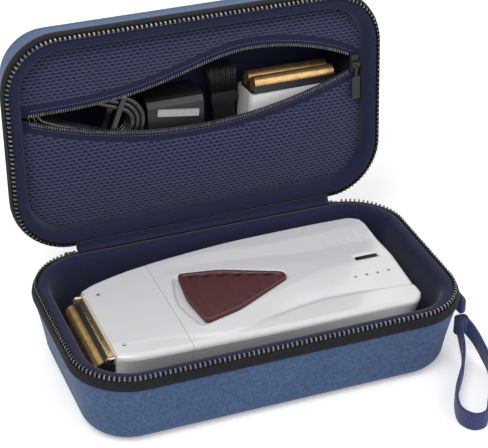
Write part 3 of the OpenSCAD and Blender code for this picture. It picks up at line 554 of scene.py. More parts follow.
def pocket_teeth(name, edge, side, pitch=1.15, half=0.32, ease=0.12):
    """Rows of small zip teeth standing on an edge of the mouth, a little slimmer at the top."""
    v0, v1 = (-1.5, 0.25) if side > 0 else (-0.25, 1.5)
    solids = []
    for x in np.arange(4 - POCKET_HX, POCKET_HX - 6.2, pitch):
        solids.append([(x + across, edge(x) + v, POCKET_W + w) for w, e in ((0.02, 0.0), (0.85, ease))
                       for across, v in ((e - half, v0 + e), (half - e, v0 + e),
                                         (half - e, v1 - e), (e - half, v1 - e))])
    return boxes(name, solids, TEETH, "lid", lid_points)


def build_pocket():
    lower = panel("pocket_netting_lower", "pocket_lower_panel", lambda x: POCKET_LO + corner_rise(x),
                  lambda x: low_edge(x) - ZIP_BAND, 1.0)
    upper = panel("pocket_netting_upper", "pocket_upper_panel", lambda x: high_edge(x) + ZIP_BAND,
                  lambda x: POCKET_HI - corner_rise(x), 0.3)
    low_band = panel("mouth_band_lower", "pocket_zip_lower",
                     lambda x: low_edge(x) - ZIP_BAND - HEM_LAP, low_edge)
    high_band = panel("mouth_band_upper", "pocket_zip_upper", high_edge,
                      lambda x: high_edge(x) + ZIP_BAND + HEM_LAP)
    low_trim = [low_band, pocket_teeth("mouth_teeth_lower", low_edge, 1),
                seam_row("mouth_stitches_lower", low_edge, -2.8)]
    high_trim = [high_band, pocket_teeth("mouth_teeth_upper", high_edge, -1),
                 seam_row("mouth_stitches_upper", high_edge, 2.6)]


# Wrist strap
STRAP_W, STRAP_T = 10.0, 1.6
TAB_X, TAB_Y, TAB_Z, TAB_HALF = CASE_L / 2 - 2.6, -34.0, 28.5, 5.0
STRAP_PATH = [
    (1.9, -3.2, 18, -10), (1.4, -8, 13.5, -15), (0.2, -14, 8.6, -22), (-4, -22, 5.6, -30),
    (-10.5, -31, 5.2, -34), (-17, -40, 5.2, -32), (-21.5, -50, 5.2, -14), (-22, -56.5, 5.2, 10),
    (-18.5, -61.5, 5.2, 56), (-13, -61.5, 5.2, 110), (-9, -57, 5.2, 138), (-2, -46, 5.2, 148),
    (5, -35, 5.2, 150), (9, -26, 5.4, 158), (10, -17, 7.6, 172), (8.6, -9, 12.6, 190),
    (5, -3.4, 18, 200)]


def build_strap():
    """A loop of webbing with rolled edges and a sewn sleeve."""
    frames = np.array(smooth_profile(STRAP_PATH, 8))
    section = soft_ring(24, STRAP_T / 2, STRAP_W / 2, 0.5, 0.25)
    rings = []
    for x, y, z, heading in frames:
        nx, ny = math.cos(math.radians(heading)), math.sin(math.radians(heading))
        rings.append([((TAB_X + x + nx * t) * MM, (TAB_Y + y + ny * t) * MM, (z + h) * MM)
                      for t, h in section])
    loop = loft("strap_webbing", rings)
    finish_piece(loop, WEBBING, "strap")
    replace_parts(loop, "wrist_strap")
    outline = soft_ring(28, 3.4, 2.6, 0.7, 0.7)
    rings = [[((TAB_X + 3.0 + u) * MM, (TAB_Y - 4.2 + v) * MM, z * MM) for u, v in outline]
             for z in np.linspace(13.2, 22.0, 9)]
    sleeve = loft("strap_sleeve", rings)
    finish_piece(sleeve, WEBBING, "strap", angle=50)


def tab_sleeve():
    """The sewn tab that the strap hangs from."""
    rings = []
    for x, grow in ((1.7, -0.3), (2.0, 0.0), (3.6, 0.0), (4.4, -0.3), (4.6, -0.8)):
        outline = soft_ring(32, TAB_HALF + grow, TAB_HALF - 0.5 + grow, 0.35, 0.35)
        rings.append([((TAB_X + x) * MM, (TAB_Y + u) * MM, (TAB_Z + v) * MM) for u, v in outline])
    obj = loft("tab_cloth", rings)
    return finish_piece(obj, WEBBING, "base", angle=50)


# Lead
TAIL = [(ADAPTER_X - out, v, LID_FLOOR + up) for out, v, up in (
    (22, 34, 10.5), (27, 34, 10.5), (33, 34.6, 10.3), (39, 35.8, 10.4), (44.5, 38, 10.8),
    (49.2, 41.2, 11.6))]
TAIL += [(ADAPTER_X - 51.8, 45, HANK_W0 + 0.7), (ADAPTER_X - 50.4, 48.7, HANK_W0 + 1.2)]
END = [(PLUG_X - 6, 58.4, HANK_W0 + 4.3), (PLUG_X - 4.2, 55, LID_FLOOR + 12.4),
       (PLUG_X - 2.4, 52.6, LID_FLOOR + 8), (PLUG_X - 0.7, 50.6, LID_FLOOR + 4.6),
       (PLUG_X, 49, LID_FLOOR + 3.5), (PLUG_X, 47.6, LID_FLOOR + 3.5)]


def hank_point(h, k, w):
    """A point of the hank, along and across its runs, in the lid's frame."""
    c, s = math.cos(HANK_TILT), math.sin(HANK_TILT)
    return (HANK_X + h * c - k * s, HANK_V + h * s + k * c, w)


def hank_route():
    """The lead's turns: three side by side, in four layers, wound counter-clockwise."""
    pitch = LEAD_D + LEAD_GAP
    radii = [HANK_OUT - LEAD_D / 2 - i * pitch for i in range(HANK_RINGS)]
    order = []
    for layer in range(HANK_LAYERS):
        row = radii if layer % 2 == 0 else radii[::-1]
        order += [(r, HANK_W0 + LEAD_D / 2 + layer * pitch) for r in row]
    half = HANK_RUN / 2
    route = []
    for turn, (r, w) in enumerate(order):
        nr, nw = order[min(turn + 1, len(order) - 1)]
        stations = [("run", -1, 0.15 + 0.25 * i) for i in range(4)]
        stations += [("bend", 1, 0.05 + 0.15 * i) for i in range(7)]
        stations += [("run", 1, 0.1 + 0.25 * i) for i in range(4)]
        stations += [("bend", -1, 0.15 * i) for i in range(7 if turn < len(order) - 1 else 5)]
        for kind, side, f in stations:
            move = 0.0
            if kind == "bend" and side < 0:
                move = 0.5 - 0.5 * math.cos(math.pi * f)
            rr, ww = r + (nr - r) * move, w + (nw - w) * move
            if kind == "run":
                h = -half + HANK_RUN * f if side < 0 else half - HANK_RUN * f
                k = -rr if side < 0 else rr
            else:
                a = math.radians(-90 + 180 * f) if side > 0 else math.radians(90 + 180 * f)
                h = side * half + rr * math.cos(a)
                k = rr * math.sin(a)
            route.append(hank_point(h, k, ww))
    return route


def spaced(p, step=None, count=None):
    """Even points along the line through p, by their step or round a closed line, and its length."""
    away = np.concatenate([[0], np.cumsum(np.linalg.norm(np.diff(p, axis=0), axis=1))])
    at = np.linspace(0, away[-1], count or int(away[-1] / step), endpoint=count is None)
    return np.stack([np.interp(at, away, side) for side in p.T], axis=1), away[-1]


def build_lead():
    even, length = spaced(np.array(smooth_profile(TAIL + hank_route()[2:] + END, 8)), 2.0)
    curve = bpy.data.curves.new("charging_lead", "CURVE")
    curve.dimensions = "3D"
    curve.bevel_depth = LEAD_D / 2 * MM
    curve.bevel_resolution = 4
    spline = curve.splines.new("POLY")
    placed = lid_points(even)
    spline.points.add(len(placed) - 1)
    for point, at in zip(spline.points, placed):
        point.co = (*at, 1.0)
    obj = link_new("charging_lead", curve)
    curve.materials.append(RUBBER)
    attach(obj, "lid")
    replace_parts(obj, "lead_tail", "lead_hank", "lead_end")
    tie = build_tie()


def build_tie():
    """A soft band round the hank, near its right end."""
    mid, out_w, thick = HANK_RUN / 2 - 2, HANK_T / 2, 1.3
    centre_w = HANK_W0 + HANK_T / 2
    count = 48
    outlines = [(mid + dh, soft_ring(count, HANK_OUT + grow, out_w + grow, 0.25, 0.25))
                for dh, grow in ((-1.5, 0.15), (-1.2, thick), (1.2, thick), (1.5, 0.15))]
    rings = [[hank_point(h, ring[i][0], centre_w + ring[i][1]) for h, ring in outlines]
             for i in range(count)]
    obj = loft("lead_band", lid_points(rings), closed=True)
    finish_piece(obj, RUBBER, "lid", angle=40)
    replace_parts(obj, "lead_tie")
    return obj


# Brush
TUFT_COLUMNS, TUFT_ROWS, TUFT_SIDES, TUFT_R, TUFT_L = 15, 7, 5, 0.36, 14.6
TUFTS_X, TUFTS_V, TUFTS_W = 22.0, 60.0, LID_FLOOR + 1.8


def build_brush():
    """Tufts of fine bristles, slightly splayed."""
    points, faces = [], []
    for i in range(TUFT_COLUMNS):
        for j in range(TUFT_ROWS):
            x = TUFTS_X + (i - TUFT_COLUMNS // 2) * 0.93 + random.uniform(-0.15, 0.15)
            w = TUFTS_W + j * 0.8 + random.uniform(-0.12, 0.12)
            lean = (x - TUFTS_X) * 0.10 + random.uniform(-0.4, 0.4)
            tall = TUFT_L - random.uniform(0, 1.2)
            s = len(points)
            for f in (0, 0.5, 1.0):
                r = TUFT_R * (1 - 0.3 * f)
                for k in range(TUFT_SIDES):
                    a = 2 * math.pi * k / TUFT_SIDES
                    points.append((x + lean * f * f + r * math.cos(a), TUFTS_V + tall * f,
                                   w + r * math.sin(a)))
            for a in range(s, s + 2 * TUFT_SIDES, TUFT_SIDES):
                for k in range(TUFT_SIDES):
                    m = (k + 1) % TUFT_SIDES
                    faces.append([a + k, a + k + TUFT_SIDES, a + m + TUFT_SIDES, a + m])
            faces.append(list(range(s, s + TUFT_SIDES)))
            faces.append(list(range(s + 3 * TUFT_SIDES - 1, s + 2 * TUFT_SIDES - 1, -1)))
    obj = new_object("bristle_tufts", lid_points(points), faces)
    finish_piece(obj, BRISTLE, "lid")
    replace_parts(obj, "brush_bristles")


def paint_rest():
    """Materials of the CAD nodes that stay as they are."""
    looks = (
        (BLACK, "adapter_body spare_foil_carrier foil_carrier drive_fork charge_socket brush_handle"),
        (BLACK, "pocket_zip_slider pocket_zip_pull"), (RUBBER, "lead_plug adapter_relief"),
        (STEEL, "adapter_pins cutter_upper cutter_lower motor cover_screws"),
        (STEEL, "zip_slider_left zip_slider_right zip_pull_left zip_pull_right"), (LATCH, "adapter_latch"),
        # The lower cover's grey is painted shade on white plastic.
        (WHITE, "spare_head_shell"), (GOLD, "spare_foils"), (PAINTED_SHADE_GREY, "lower_cover"), (CELL, "battery"),
        (GREEN, "circuit_board"))
    for look, nodes in looks:
        for node in nodes.split():
            repaint(node, look)
    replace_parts(tab_sleeve(), "strap_tab")


# Shaver: the lines of its sculpted top from the head to the tail, as (x, y, z) points in millimetres
EDGE_FRONT = [(-76, -29, 36.4), (-70, -31.8, 36.9), (-60, -33.6, 37.4), (-38, -35.5, 38.3), (0, -38, 39.4),
              (30, -38.5, 39.6), (80, -38.5, 39.2)]
GROOVE = [(-76, -20, 37.1), (-50, -24, 37.9), (-30, -30, 38.8), (-17, -31.3, 39.1), (-2, -28.5, 39.0),
          (10, -25.7, 38.7), (22, -23.2, 38.5), (34, -21.9, 38.5), (56, -22.9, 38.5), (80, -24.6, 38.3)]
RIDGE_FRONT = [(-76, -10, 37.3), (-55, -16, 38.2), (-38, -21.5, 39.1), (-28, -22.9, 39.8),
               (-16, -19.7, 40.3), (5, -12.4, 40.7), (22, -7.1, 40.9), (35, -3.3, 41.0),
               (47, -0.6, 41.0), (80, 0.4, 40.8)]
RIDGE_SPINE = [(-76, 9, 37.3), (-55, 14, 38.3), (-38, 20, 39.2), (-28, 20.8, 39.8), (-2, 15.9, 40.4),
               (22, 11.5, 40.6), (40, 7.9, 40.6), (50, 7.0, 40.6), (80, 7.4, 40.5)]
DIP = [(-76, 16, 37.2), (-55, 22, 38.2), (-38, 26, 39.1), (-20, 26.5, 39.6), (0, 24.5, 39.8),
       (22, 21, 39.9), (40, 18, 39.8), (80, 18, 39.8)]
RIDGE_BACK = [(-76, 23, 37.0), (-55, 28, 37.9), (-38, 32, 38.9), (-23, 34.2, 39.7), (2, 33.2, 40.5),
              (20, 30.3, 40.7), (54, 30.9, 40.7), (80, 33, 40.3)]
EDGE_BACK = [(-76, 29, 36.4), (-70, 31.8, 37.0), (-63, 34, 37.3), (-51, 36.6, 37.9), (-37, 38.3, 38.6),
             (-23, 39.6, 39.1), (-5, 41, 39.5), (13, 42, 39.7), (50, 42.6, 39.7), (80, 42.4, 39.4)]

# Shaver: its seam and parting line, the rounding of its edges, and the groove's raised lip
BODY_X, SEAM_HALF, TAIL_CORNER, EDGE_ROLL, NOSE_SHARP, SHELL_T = -40.0, 0.1, 9.0, 2.6, 2.2, 1.4
PART_Z, PART_GAP, STRAIGHT_SHARE = SHAVER_Z + 16.05, 0.05, 0.72
LIP_OUT, LIP_LIFT, LIP_BASE, LIP_TOP, LIP_FADE, GROOVE_FILL = 1.3, 0.9, 0.15, 39.6, 14, 0.35
WALL_STEPS = (0.12, 0.3, 0.55, 0.8, 0.97, 1.0)
UNDER_STEPS = ((0.4, 0.0), (0.8, 0.02), (0.93, 0.06), (0.98, 0.12), (1.0, 0.2))

# Shaver: its switch and the recess round it as (x, y, radius) corners, and the marks on its top
SWITCH_CORNERS = [(26.8, 1.7, 3.8), (-8.0, 16.4, 40.0), (-28.9, 19.7, 2.2), (-31.4, -1.0, 40.0),
                  (-28.9, -22.0, 2.2), (-10.0, -17.0, 40.0)]
RECESS_CORNERS = [(28.2, 1.7, 4.5), (-8.0, 17.8, 40.0), (-31.0, 21.2, 3.0), (-37.6, -1.0, 40.0),
                  (-31.5, -23.4, 3.0), (-10.0, -18.4, 40.0)]
SWITCH_BASE, SWITCH_TOP, RECESS_DEPTH = 39.0, 41.5, 1.5
RIB_X, RIB_Y, RIB_PITCH, RIB_STEP, RIB_RUN = 52, -1, 7.6, 0.75, 0.9
DASH_COUNT, DASH_PITCH, DASH_L, DASH_W, DASH_T = 6, 7.2, 5.0, 0.9, 0.16
GRIP_X, GRIP_Y, GRIP_DEPTH, GRIP_W = (53.3, 59.2, 65.2, 71.2), (17.5, 28.7), 0.3, 0.45
BODY_DOTS, BODY_DOT_R = [(54.0, -10.9), (60.0, -10.9), (66.0, -11.0), (72.0, -10.9)], 0.8
HEAD_DOTS, HEAD_DOT_R = [(-69.0, 20.9), (-70.0, -22.2)], 1.0
DOT_RISE, DOT_SIDES = 0.16, 14
LIGHT_X0, LIGHT_X1, LIGHT_Y0, LIGHT_Y1, LIGHT_R = 60.4, 72.2, 1.7, 4.5, 0.7
LIGHT_RIM, LIGHT_DEPTH = 0.5, 0.9

# Foils: their axes stand FOIL_OUT in front of the nose
FOIL_Z, FOIL_PITCH, FOIL_R, FOIL_L = SHAVER_Z + SHAVER_T / 2 + 1, 10.4, 4.4, 50.0
FOIL_OUT, FOIL_NECK, FOIL_T, FRAME_RISE = 5, 1.5, 0.3, 5.7


def on_line(line, x):
    """Side place and height of a sculpted line at x, along a smooth curve through its points."""
    p = np.array(smooth_profile(line, 6))
    return [np.interp(x, p[:, 0], p[:, axis]) for axis in (1, 2)]


def fade(x, low, high):
    """A smooth step from 0 at low to 1 at high."""
    t = np.clip((x - low) / (high - low), 0, 1)
    return t * t * (3 - 2 * t)


def side_y(line, x):
    """A long edge, drawn in round the tail's corners."""
    over = np.clip(x - (SHAVER_X - TAIL_CORNER), 0, TAIL_CORNER)
    inset = TAIL_CORNER - np.sqrt(np.maximum(0, TAIL_CORNER ** 2 - over ** 2))
    return on_line(line, x)[0] + (inset if line is EDGE_FRONT else -inset)


def rounded_outline(corners, steps=8):
    """Points round a polygon, given as corners (x, y, radius)."""
    points = []
    for k, (x, y, r) in enumerate(corners):
        here = np.array((x, y))
        a = np.array(corners[k - 1][:2]) - here
        b = np.array(corners[(k + 1) % len(corners)][:2]) - here
        a, b = a / np.linalg.norm(a), b / np.linalg.norm(b)
        half = math.acos(max(-1.0, min(1.0, float(a @ b)))) / 2
        centre = here + (a + b) / np.linalg.norm(a + b) * r / math.sin(half)
        start = here + a * r / math.tan(half) - centre
        end = here + b * r / math.tan(half) - centre
        for i in range(steps + 1):
            way = start + (end - start) * i / steps
            points.append(centre + way / np.linalg.norm(way) * r)
    return np.array(points)


def even_ring(points, count):
    """The closed outline through the points, as evenly spaced ones."""
    return spaced(np.vstack([points, points[:1]]), count=count)[0]


def outline_distance(outline, x, y):
    """Distance of each point (x, y) to a closed outline, negative inside it."""
    tiny = 1e-12
    best = np.full(x.shape, 1e9)
    inside = np.zeros(x.shape, bool)
    for k in range(len(outline)):
        x1, y1 = outline[k - 1]
        x2, y2 = outline[k]
        dx, dy = x2 - x1, y2 - y1
        t = np.clip(((x - x1) * dx + (y - y1) * dy) / (dx * dx + dy * dy + tiny), 0, 1)
        best = np.minimum(best, np.hypot(x - x1 - t * dx, y - y1 - t * dy))
        inside ^= ((y1 > y) != (y2 > y)) & (x < (x2 - x1) * (y - y1) / (y2 - y1 + tiny) + x1)
    return np.where(inside, -best, best)


def sloped_height(x, y):
    """Straight slopes between the sculpted lines, softened across by a weighted mean of five places."""
    groove_y, groove_z = on_line(GROOVE, x)
    tailward = fade(x, -LIP_FADE, LIP_FADE)
    lip = np.minimum(groove_z + LIP_BASE + LIP_LIFT * tailward, LIP_TOP)
    lines = [(side_y(EDGE_FRONT, x), on_line(EDGE_FRONT, x)[1]), (groove_y - LIP_OUT, lip),
             (groove_y, groove_z + GROOVE_FILL - GROOVE_FILL * tailward)]
    lines += [on_line(line, x) for line in (RIDGE_FRONT, RIDGE_SPINE, DIP, RIDGE_BACK)]
    lines.append((side_y(EDGE_BACK, x), on_line(EDGE_BACK, x)[1]))
    z = np.zeros(x.shape)
    for shift, weight in ((-1.0, 0.15), (-0.5, 0.22), (0.0, 0.26), (0.5, 0.22), (1.0, 0.15)):
        moved = y + shift
        level = lines[0][1].copy()
        for (y1, z1), (y2, z2) in zip(lines, lines[1:]):
            t = np.clip((moved - y1) / np.maximum(y2 - y1, 0.3), 0, 1)
            level = np.where(moved > y1, z1 + (z2 - z1) * t, level)
        z += level * weight
    return z


def top_height(x, y):
    """Height of the shaver's top: its slopes less the recess, the grip grooves and the light's slot."""
    z = sloped_height(x, y)
    away = outline_distance(even_ring(rounded_outline(RECESS_CORNERS), 90), x, y)
    z -= RECESS_DEPTH * (1 - fade(away, -1.1, 0.5))
    low, high = GRIP_Y
    along = fade(y, low - 0.5, low + 0.5) * (1 - fade(y, high - 0.5, high + 0.5))
    for groove_x in GRIP_X:
        z -= GRIP_DEPTH * along * np.exp(-((x - groove_x) / GRIP_W) ** 2)
    past_x = np.maximum(LIGHT_X0 - LIGHT_RIM - x, x - LIGHT_X1 - LIGHT_RIM)
    past_y = np.maximum(LIGHT_Y0 - LIGHT_RIM - y, y - LIGHT_Y1 - LIGHT_RIM)
    return z - LIGHT_DEPTH * (1 - fade(np.maximum(past_x, past_y), -0.45, 0.15))


def height_at(x, y):
    return float(top_height(np.array([x]), np.array([y]))[0])


def housing_top(x_low, x_high, across, along, has_tail):
    """The sculpted top between two places as a grid of points, with its edges rolled over."""
    t = np.linspace(0, 1, along)
    xs = x_low + (x_high - x_low) * t
    if has_tail:
        turn = np.clip((t - STRAIGHT_SHARE) / (1 - STRAIGHT_SHARE), 0, 1)
        straight = x_low + (x_high - TAIL_CORNER - x_low) * t / STRAIGHT_SHARE
        corner = x_high - TAIL_CORNER + TAIL_CORNER * np.sin(turn * math.pi / 2)
        xs = np.where(t < STRAIGHT_SHARE, straight, corner)
    low_y, high_y = side_y(EDGE_FRONT, xs)[:, None], side_y(EDGE_BACK, xs)[:, None]
    x = np.repeat(xs[:, None], across, axis=1)
    y = low_y + (high_y - low_y) * (0.5 - 0.5 * np.cos(math.pi * np.linspace(0, 1, across)))[None, :]
    edge = np.minimum(y - low_y, high_y - y)
    edge = np.minimum(edge, x_high - x if has_tail else (x - x_low) * NOSE_SHARP)
    away = np.clip(EDGE_ROLL - edge, 0, EDGE_ROLL)
    z = top_height(x, y) - EDGE_ROLL + np.sqrt(EDGE_ROLL ** 2 - away ** 2)
    return np.stack([x, y, z], axis=2)


def seat_points(rim):
    """The rim's points, moved in to the outline of the lower cover."""
    seat = rim.copy()
    turn_x = SHAVER_X - TAIL_R
    for k, (x, y) in enumerate(rim[:, :2]):
        over = min(max(0.0, x - turn_x), TAIL_R)
        inset = TAIL_R - math.sqrt(max(0.0, TAIL_R ** 2 - over ** 2))
        width = abs(side_y(EDGE_FRONT if y < 0 else EDGE_BACK, np.array([x]))[0])
        if width > 1:
            half = NOSE_HW + (TAIL_HW - NOSE_HW) * (min(x, turn_x) - NOSE_X) / (turn_x - NOSE_X)
            seat[k, 1] = y / width * (half - inset)
    return seat


def housing_walls(rim, low_z, has_floor):
    """Rings from the top's rim to the parting line and, for the head, on round to its underside."""
    seat = seat_points(rim)
    rings = []
    for f in WALL_STEPS:
        ring = rim + (seat - rim) * f
        ring[:, 2] = rim[:, 2] + (PART_Z + PART_GAP - rim[:, 2]) * f
        rings.append(ring)
    for drop, inset in UNDER_STEPS if has_floor else ():
        ring = seat.copy()
        ring[:, 1] *= 1 - inset
        ring[:, 2] = PART_Z + (low_z - PART_Z) * drop
        rings.append(ring)
    return rings


def housing(name, x_low, x_high, low_z, across, along):
    """A sculpted moulding of the shaver, SHELL_T thick: the body's is open below, the head's is shut."""
    has_floor = low_z < PART_Z
    grid = housing_top(x_low, x_high, across, along, not has_floor)
    loop = [(i, 0) for i in range(along)] + [(along - 1, j) for j in range(1, across)]
    loop += [(i, across - 1) for i in range(along - 2, -1, -1)]
    loop += [(0, j) for j in range(across - 2, 0, -1)]
    index = [i * across + j for i, j in loop]
    points = grid.reshape(-1, 3)
    faces = grid_faces(along, across)
    for ring in housing_walls(points[index], low_z, has_floor):
        below = list(range(len(points), len(points) + len(loop)))
        points = np.vstack([points, ring])
        faces += map(list, zip(index, below, below[1:] + below[:1], index[1:] + index[:1]))
        index = below
    size = points.max(axis=0) - points.min(axis=0)
    middle = (points.max(axis=0) + points.min(axis=0)) / 2
    if not has_floor:
        middle[2] = PART_Z + PART_GAP
    inner = middle + (points - middle) * (1 - 2 * SHELL_T / size)
    shift = len(points)
    faces += [[shift + k for k in face[::-1]] for face in faces]
    if has_floor:
        faces += [index[::-1], [shift + k for k in index]]
    else:
        faces += [[a, a + shift, b + shift, b] for a, b in zip(index, index[1:] + index[:1])]
    obj = new_object(name, np.vstack([points, inner]) * MM, faces)
    return finish_piece(obj, WHITE, "shaver", angle=38)


def dots(name, spots, radius):
    """Small dark dimples, each with a thin rim round a shallow hollow."""
    points, faces = [], []
    for x, y in spots:
        start = len(points)
        z = height_at(x, y)
        for r, rise in ((radius, DOT_RISE), (radius * 0.75, 0.0), (0.01, 0.0)):
            for k in range(DOT_SIDES):
                a = 2 * math.pi * k / DOT_SIDES
                points.append((x + r * math.cos(a), y + r * math.sin(a), z + rise))
        faces += grid_faces(3, DOT_SIDES, ring_count=True, start=start)
    obj = new_object(name, np.array(points) * MM, faces)
    return finish_piece(obj, BLACK, "shaver")


def inset_stack(name, outline, levels, material, body, inner=None, rings=22):
    """A flat piece from an outline: levels are (inset, z), and inner(x, y) gives the heights within them."""
    base = even_ring(outline, 150)
    mid = base.mean(axis=0)
    tangent = np.roll(base, -1, axis=0) - np.roll(base, 1, axis=0)
    normal = np.stack([tangent[:, 1], -tangent[:, 0]], axis=1)
    normal /= np.linalg.norm(normal, axis=1)[:, None]
    if ((base - mid) * normal).sum() < 0:
        normal = -normal
    stack = [np.column_stack([base - normal * inset, np.full(len(base), z)]) for inset, z in levels]
    last = stack[-1]
    for i in range(1, rings + 1):
        p = mid + (last[:, :2] - mid) * (1 - i / rings * 0.97)
        z = inner(p[:, 0], p[:, 1]) if inner else np.full(len(p), last[0, 2])
        stack.append(np.column_stack([p, z]))
    obj = loft(name, np.array(stack) * MM)
    return finish_piece(obj, material, body, angle=50)


def switch_top(x, y):
    """Curved ribs like shingles, rising gently and ending in a step."""
    t = (np.hypot(x - RIB_X, (y - RIB_Y) * 0.8) / RIB_PITCH) % 1.0
    step = np.where(t < RIB_RUN, t / RIB_RUN, (1 - t) / (1 - RIB_RUN))
    return SWITCH_TOP - 1.0 + RIB_STEP * step


def build_switch():
    """The thumb switch with its raised rim, and the row of dark dashes along its back edge."""
    levels = [(0.0, SWITCH_BASE)]
    levels += [(inset, SWITCH_TOP - drop) for inset, drop in
               ((0.0, 0.45), (0.18, 0.12), (0.55, 0), (1.6, 0), (1.95, 0.2), (2.15, 0.62))]
    cap = inset_stack("switch_cap", rounded_outline(SWITCH_CORNERS), levels, MAROON, "switch",
                      switch_top, 40)
    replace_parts(cap, "thumb_switch")
    solids = []
    slope, first_x, first_y, sink = -0.28, -25.0, 16.3, 0.4
    for k in range(DASH_COUNT):
        x = first_x + DASH_PITCH * k
        y = first_y + slope * max(0.0, x + 26) - 0.0006 * (x + 26) ** 2
        corners = [(x + DASH_L * i, y + DASH_L * slope * i + DASH_W * j)
                   for i, j in ((0, 0.5), (0, -0.5), (1, -0.5), (1, 0.5))]
        solids.append([(*corner, SWITCH_TOP - sink + h) for h in (0.0, DASH_T) for corner in corners])
    boxes("switch_slots", solids, BLACK, "switch", lambda points: points * MM)


def build_light():
    """The smoked lens in its slot."""
    outline = rounded_outline([(x, y, LIGHT_R) for x, y in ((LIGHT_X0, LIGHT_Y0), (LIGHT_X1, LIGHT_Y0),
                                                            (LIGHT_X1, LIGHT_Y1), (LIGHT_X0, LIGHT_Y1))])
    z = height_at(66.0, 8.5) + 0.05
    levels = [(0.0, z - 2.2), (0.0, z - 0.35), (0.15, z - 0.2), (0.4, z - 0.15)]
    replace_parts(inset_stack("charge_lens", outline, levels, LENS, "shaver"), "charge_light")


def beam_y(name, section, y0, y1, material, body="shaver", ends=0.3):
    """A bar across the shaver with eased ends: section is a list of (x, z)."""
    rings = []
    mid = np.mean(section, axis=0)
    for y, f in ((y0, 0.9), (y0 + ends, 1.0), (y1 - ends, 1.0), (y1, 0.9)):
        rings.append([((mid[0] + (x - mid[0]) * f) * MM, y * MM, (mid[1] + (z - mid[1]) * f) * MM)
                      for x, z in section])
    return finish_piece(loft(name, rings), material, body, angle=35)


def end_pair(name, section, at, thick, material, body, ends):
    """The same plate at both ends of the foils, with its outer face at the given distance."""
    for side, word in ((-1, "front"), (1, "back")):
        low, high = sorted((side * at, side * (at - thick)))
        beam_y("%s_%s" % (name, word), section, low, high, material, body, ends)


def foil_arch(z0):
    """Section of an arched foil, open towards the head."""
    arc = [math.radians(90 + 7.5 * k) for k in range(25)]
    inner_r = FOIL_R - FOIL_T
    outer, inner = ([(NOSE_X - FOIL_OUT + r * math.cos(a), z0 + r * math.sin(a)) for a in arc]
                    for r in (FOIL_R, inner_r))
    neck = [(NOSE_X - FOIL_NECK, z0 + r) for r in (FOIL_R, -FOIL_R, -inner_r, inner_r)]
    return neck[:1] + outer + neck[1:3] + inner[::-1] + neck[3:]


def build_foil(name, body, z0):
    """One arched foil with its gold rails and its bright end plates."""
    half = FOIL_L / 2
    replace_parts(beam_y("%s_mesh" % name, foil_arch(z0), -half, half, GOLD, body, 0.05), name)
    rails = ((-3.2, FOIL_R - 0.1, 0.75), (-3.2, -FOIL_R + 0.1, 0.75), (-FOIL_OUT - FOIL_R * 0.86, 2.2, 0.28))
    for k, (x, z, wide) in enumerate(rails):
        rail = [(NOSE_X + x + wide * i, z0 + z + 0.3 * j) for i, j in ((-1, -1), (1, -1), (1, 1), (-1, 1))]
        beam_y("%s_rail_%d" % (name, k), rail, -half, half, RAIL, body)
    plate = [(NOSE_X - x, z0 + z) for x, z in (
        (1.6, -FOIL_R), (FOIL_OUT, -FOIL_R), (FOIL_OUT + 3.2, -3.0), (FOIL_OUT + FOIL_R, 0),
        (FOIL_OUT + 3.2, 3.0), (FOIL_OUT, FOIL_R), (1.6, FOIL_R))]
    end_pair("%s_end" % name, plate, half + 0.1, 1.1, RAIL, body, 0.15)


def build_foils():
    """Both foils in their black carrier, and the bright frame above them."""
    build_foil("foil_upper", "foil_top", FOIL_Z + FOIL_PITCH / 2)
    build_foil("foil_lower", "foil_bottom", FOIL_Z - FOIL_PITCH / 2)
    top = FOIL_Z + FOIL_PITCH / 2 + FRAME_RISE
    strip = [(NOSE_X - x, top + z) for x, z in ((3.0, 0.1), (3.0, 0.9), (2.4, 1.5), (0.1, 1.5), (0.1, 0.1))]
    beam_y("foil_frame", strip, -FOIL_L / 2 - 2.4, FOIL_L / 2 + 2.4, RAIL)
    cap = [(NOSE_X - x, top + z) for x, z in ((0.1, 1.9), (3.4, 1.9), (4.6, 0.6), (4.6, -2.4), (0.1, -2.4))]
    end_pair("foil_frame", cap, FOIL_L / 2 + 2.0, 1.6, CREAM, "shaver", 0.2)


def build_shaver():
    body = housing("body_housing", BODY_X + SEAM_HALF, SHAVER_X, PART_Z, 120, 190)
    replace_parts(body, "upper_cover", "top_panel")
    head = housing("head_housing", NOSE_X, BODY_X - SEAM_HALF, SHAVER_Z, 110, 60)
    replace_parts(head, "head_shell")
    dots("body_dots", BODY_DOTS, BODY_DOT_R)
    dots("head_dots", HEAD_DOTS, HEAD_DOT_R)
    build_switch()
    build_light()
    build_foils()


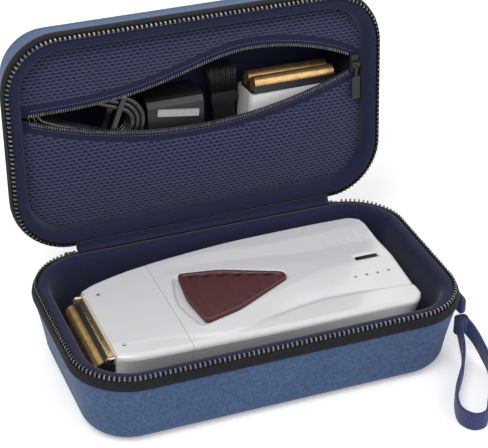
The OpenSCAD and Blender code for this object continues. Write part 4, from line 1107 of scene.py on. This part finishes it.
# Stage
CAM_AT = (-0.2649, -0.6445, 0.5165)
CAM_RIGHT = (0.9297, -0.368, 0.017)
CAM_UP = (0.1834, 0.5023, 0.845)
CAM_BACK = (-0.3195, -0.7825, 0.5345)
CAM_LENS = 126.99
WORLD_FILL, FLOOR_GLOW = 0.46, 0.28
LAMPS = (("key", (-0.7, -0.6, 1.3), 0.9, 16), ("fill", (0.9, -0.9, 0.9), 1.2, 7),
         ("rim", (0.2, 1.1, 1.1), 1.0, 5))


def build_camera():
    data = bpy.data.cameras.new("camera")
    data.sensor_width = 36.0
    data.sensor_fit = "HORIZONTAL"
    data.lens = CAM_LENS
    data.clip_end = 20
    cam = link_new("camera", data)
    turn = Matrix((CAM_RIGHT, CAM_UP, CAM_BACK)).transposed().to_4x4()
    cam.matrix_world = Matrix.Translation(CAM_AT) @ turn
    bpy.context.scene.camera = cam


def area_light(name, at, size, power, aim=(0, 0.02, 0.05)):
    data = bpy.data.lights.new(name, "AREA")
    data.size = size
    data.energy = power
    lamp = link_new(name, data)
    lamp.location = at
    lamp.rotation_euler = (Vector(aim) - Vector(at)).to_track_quat("-Z", "Y").to_euler()


def build_stage():
    world = bpy.data.worlds.new("studio")
    n = Nodes("studio", world)
    path = n.add("ShaderNodeLightPath")
    seen = n.math("MAXIMUM", path.outputs["Is Camera Ray"], path.outputs["Is Glossy Ray"])
    n.set(Color=rgb(1, 1, 1), Strength=n.spread(seen, 0.0, 1.0, WORLD_FILL, 1.0))
    bpy.context.scene.world = world
    n = Nodes("floor_white")
    light = n.add("ShaderNodeLightPath").outputs["Is Camera Ray"]
    n.set(Base_Color=rgb(0.86, 0.86, 0.86), Roughness=0.9, Emission_Color=rgb(1, 1, 1),
          Emission_Strength=n.math("MULTIPLY", light, FLOOR_GLOW), Specular_IOR_Level=0.1)
    floor = new_object("floor", [(-3, -3, 0), (3, -3, 0), (3, 3, 0), (-3, 3, 0)], [[0, 1, 2, 3]])
    floor.data.materials.append(n.mat)
    for lamp in LAMPS:
        area_light(*lamp)
    bpy.context.scene.view_settings.view_transform = "Standard"


build_camera()
build_lead()
build_case()
build_hinge()
build_pocket()
build_strap()
build_brush()
build_shaver()
paint_rest()
build_stage()
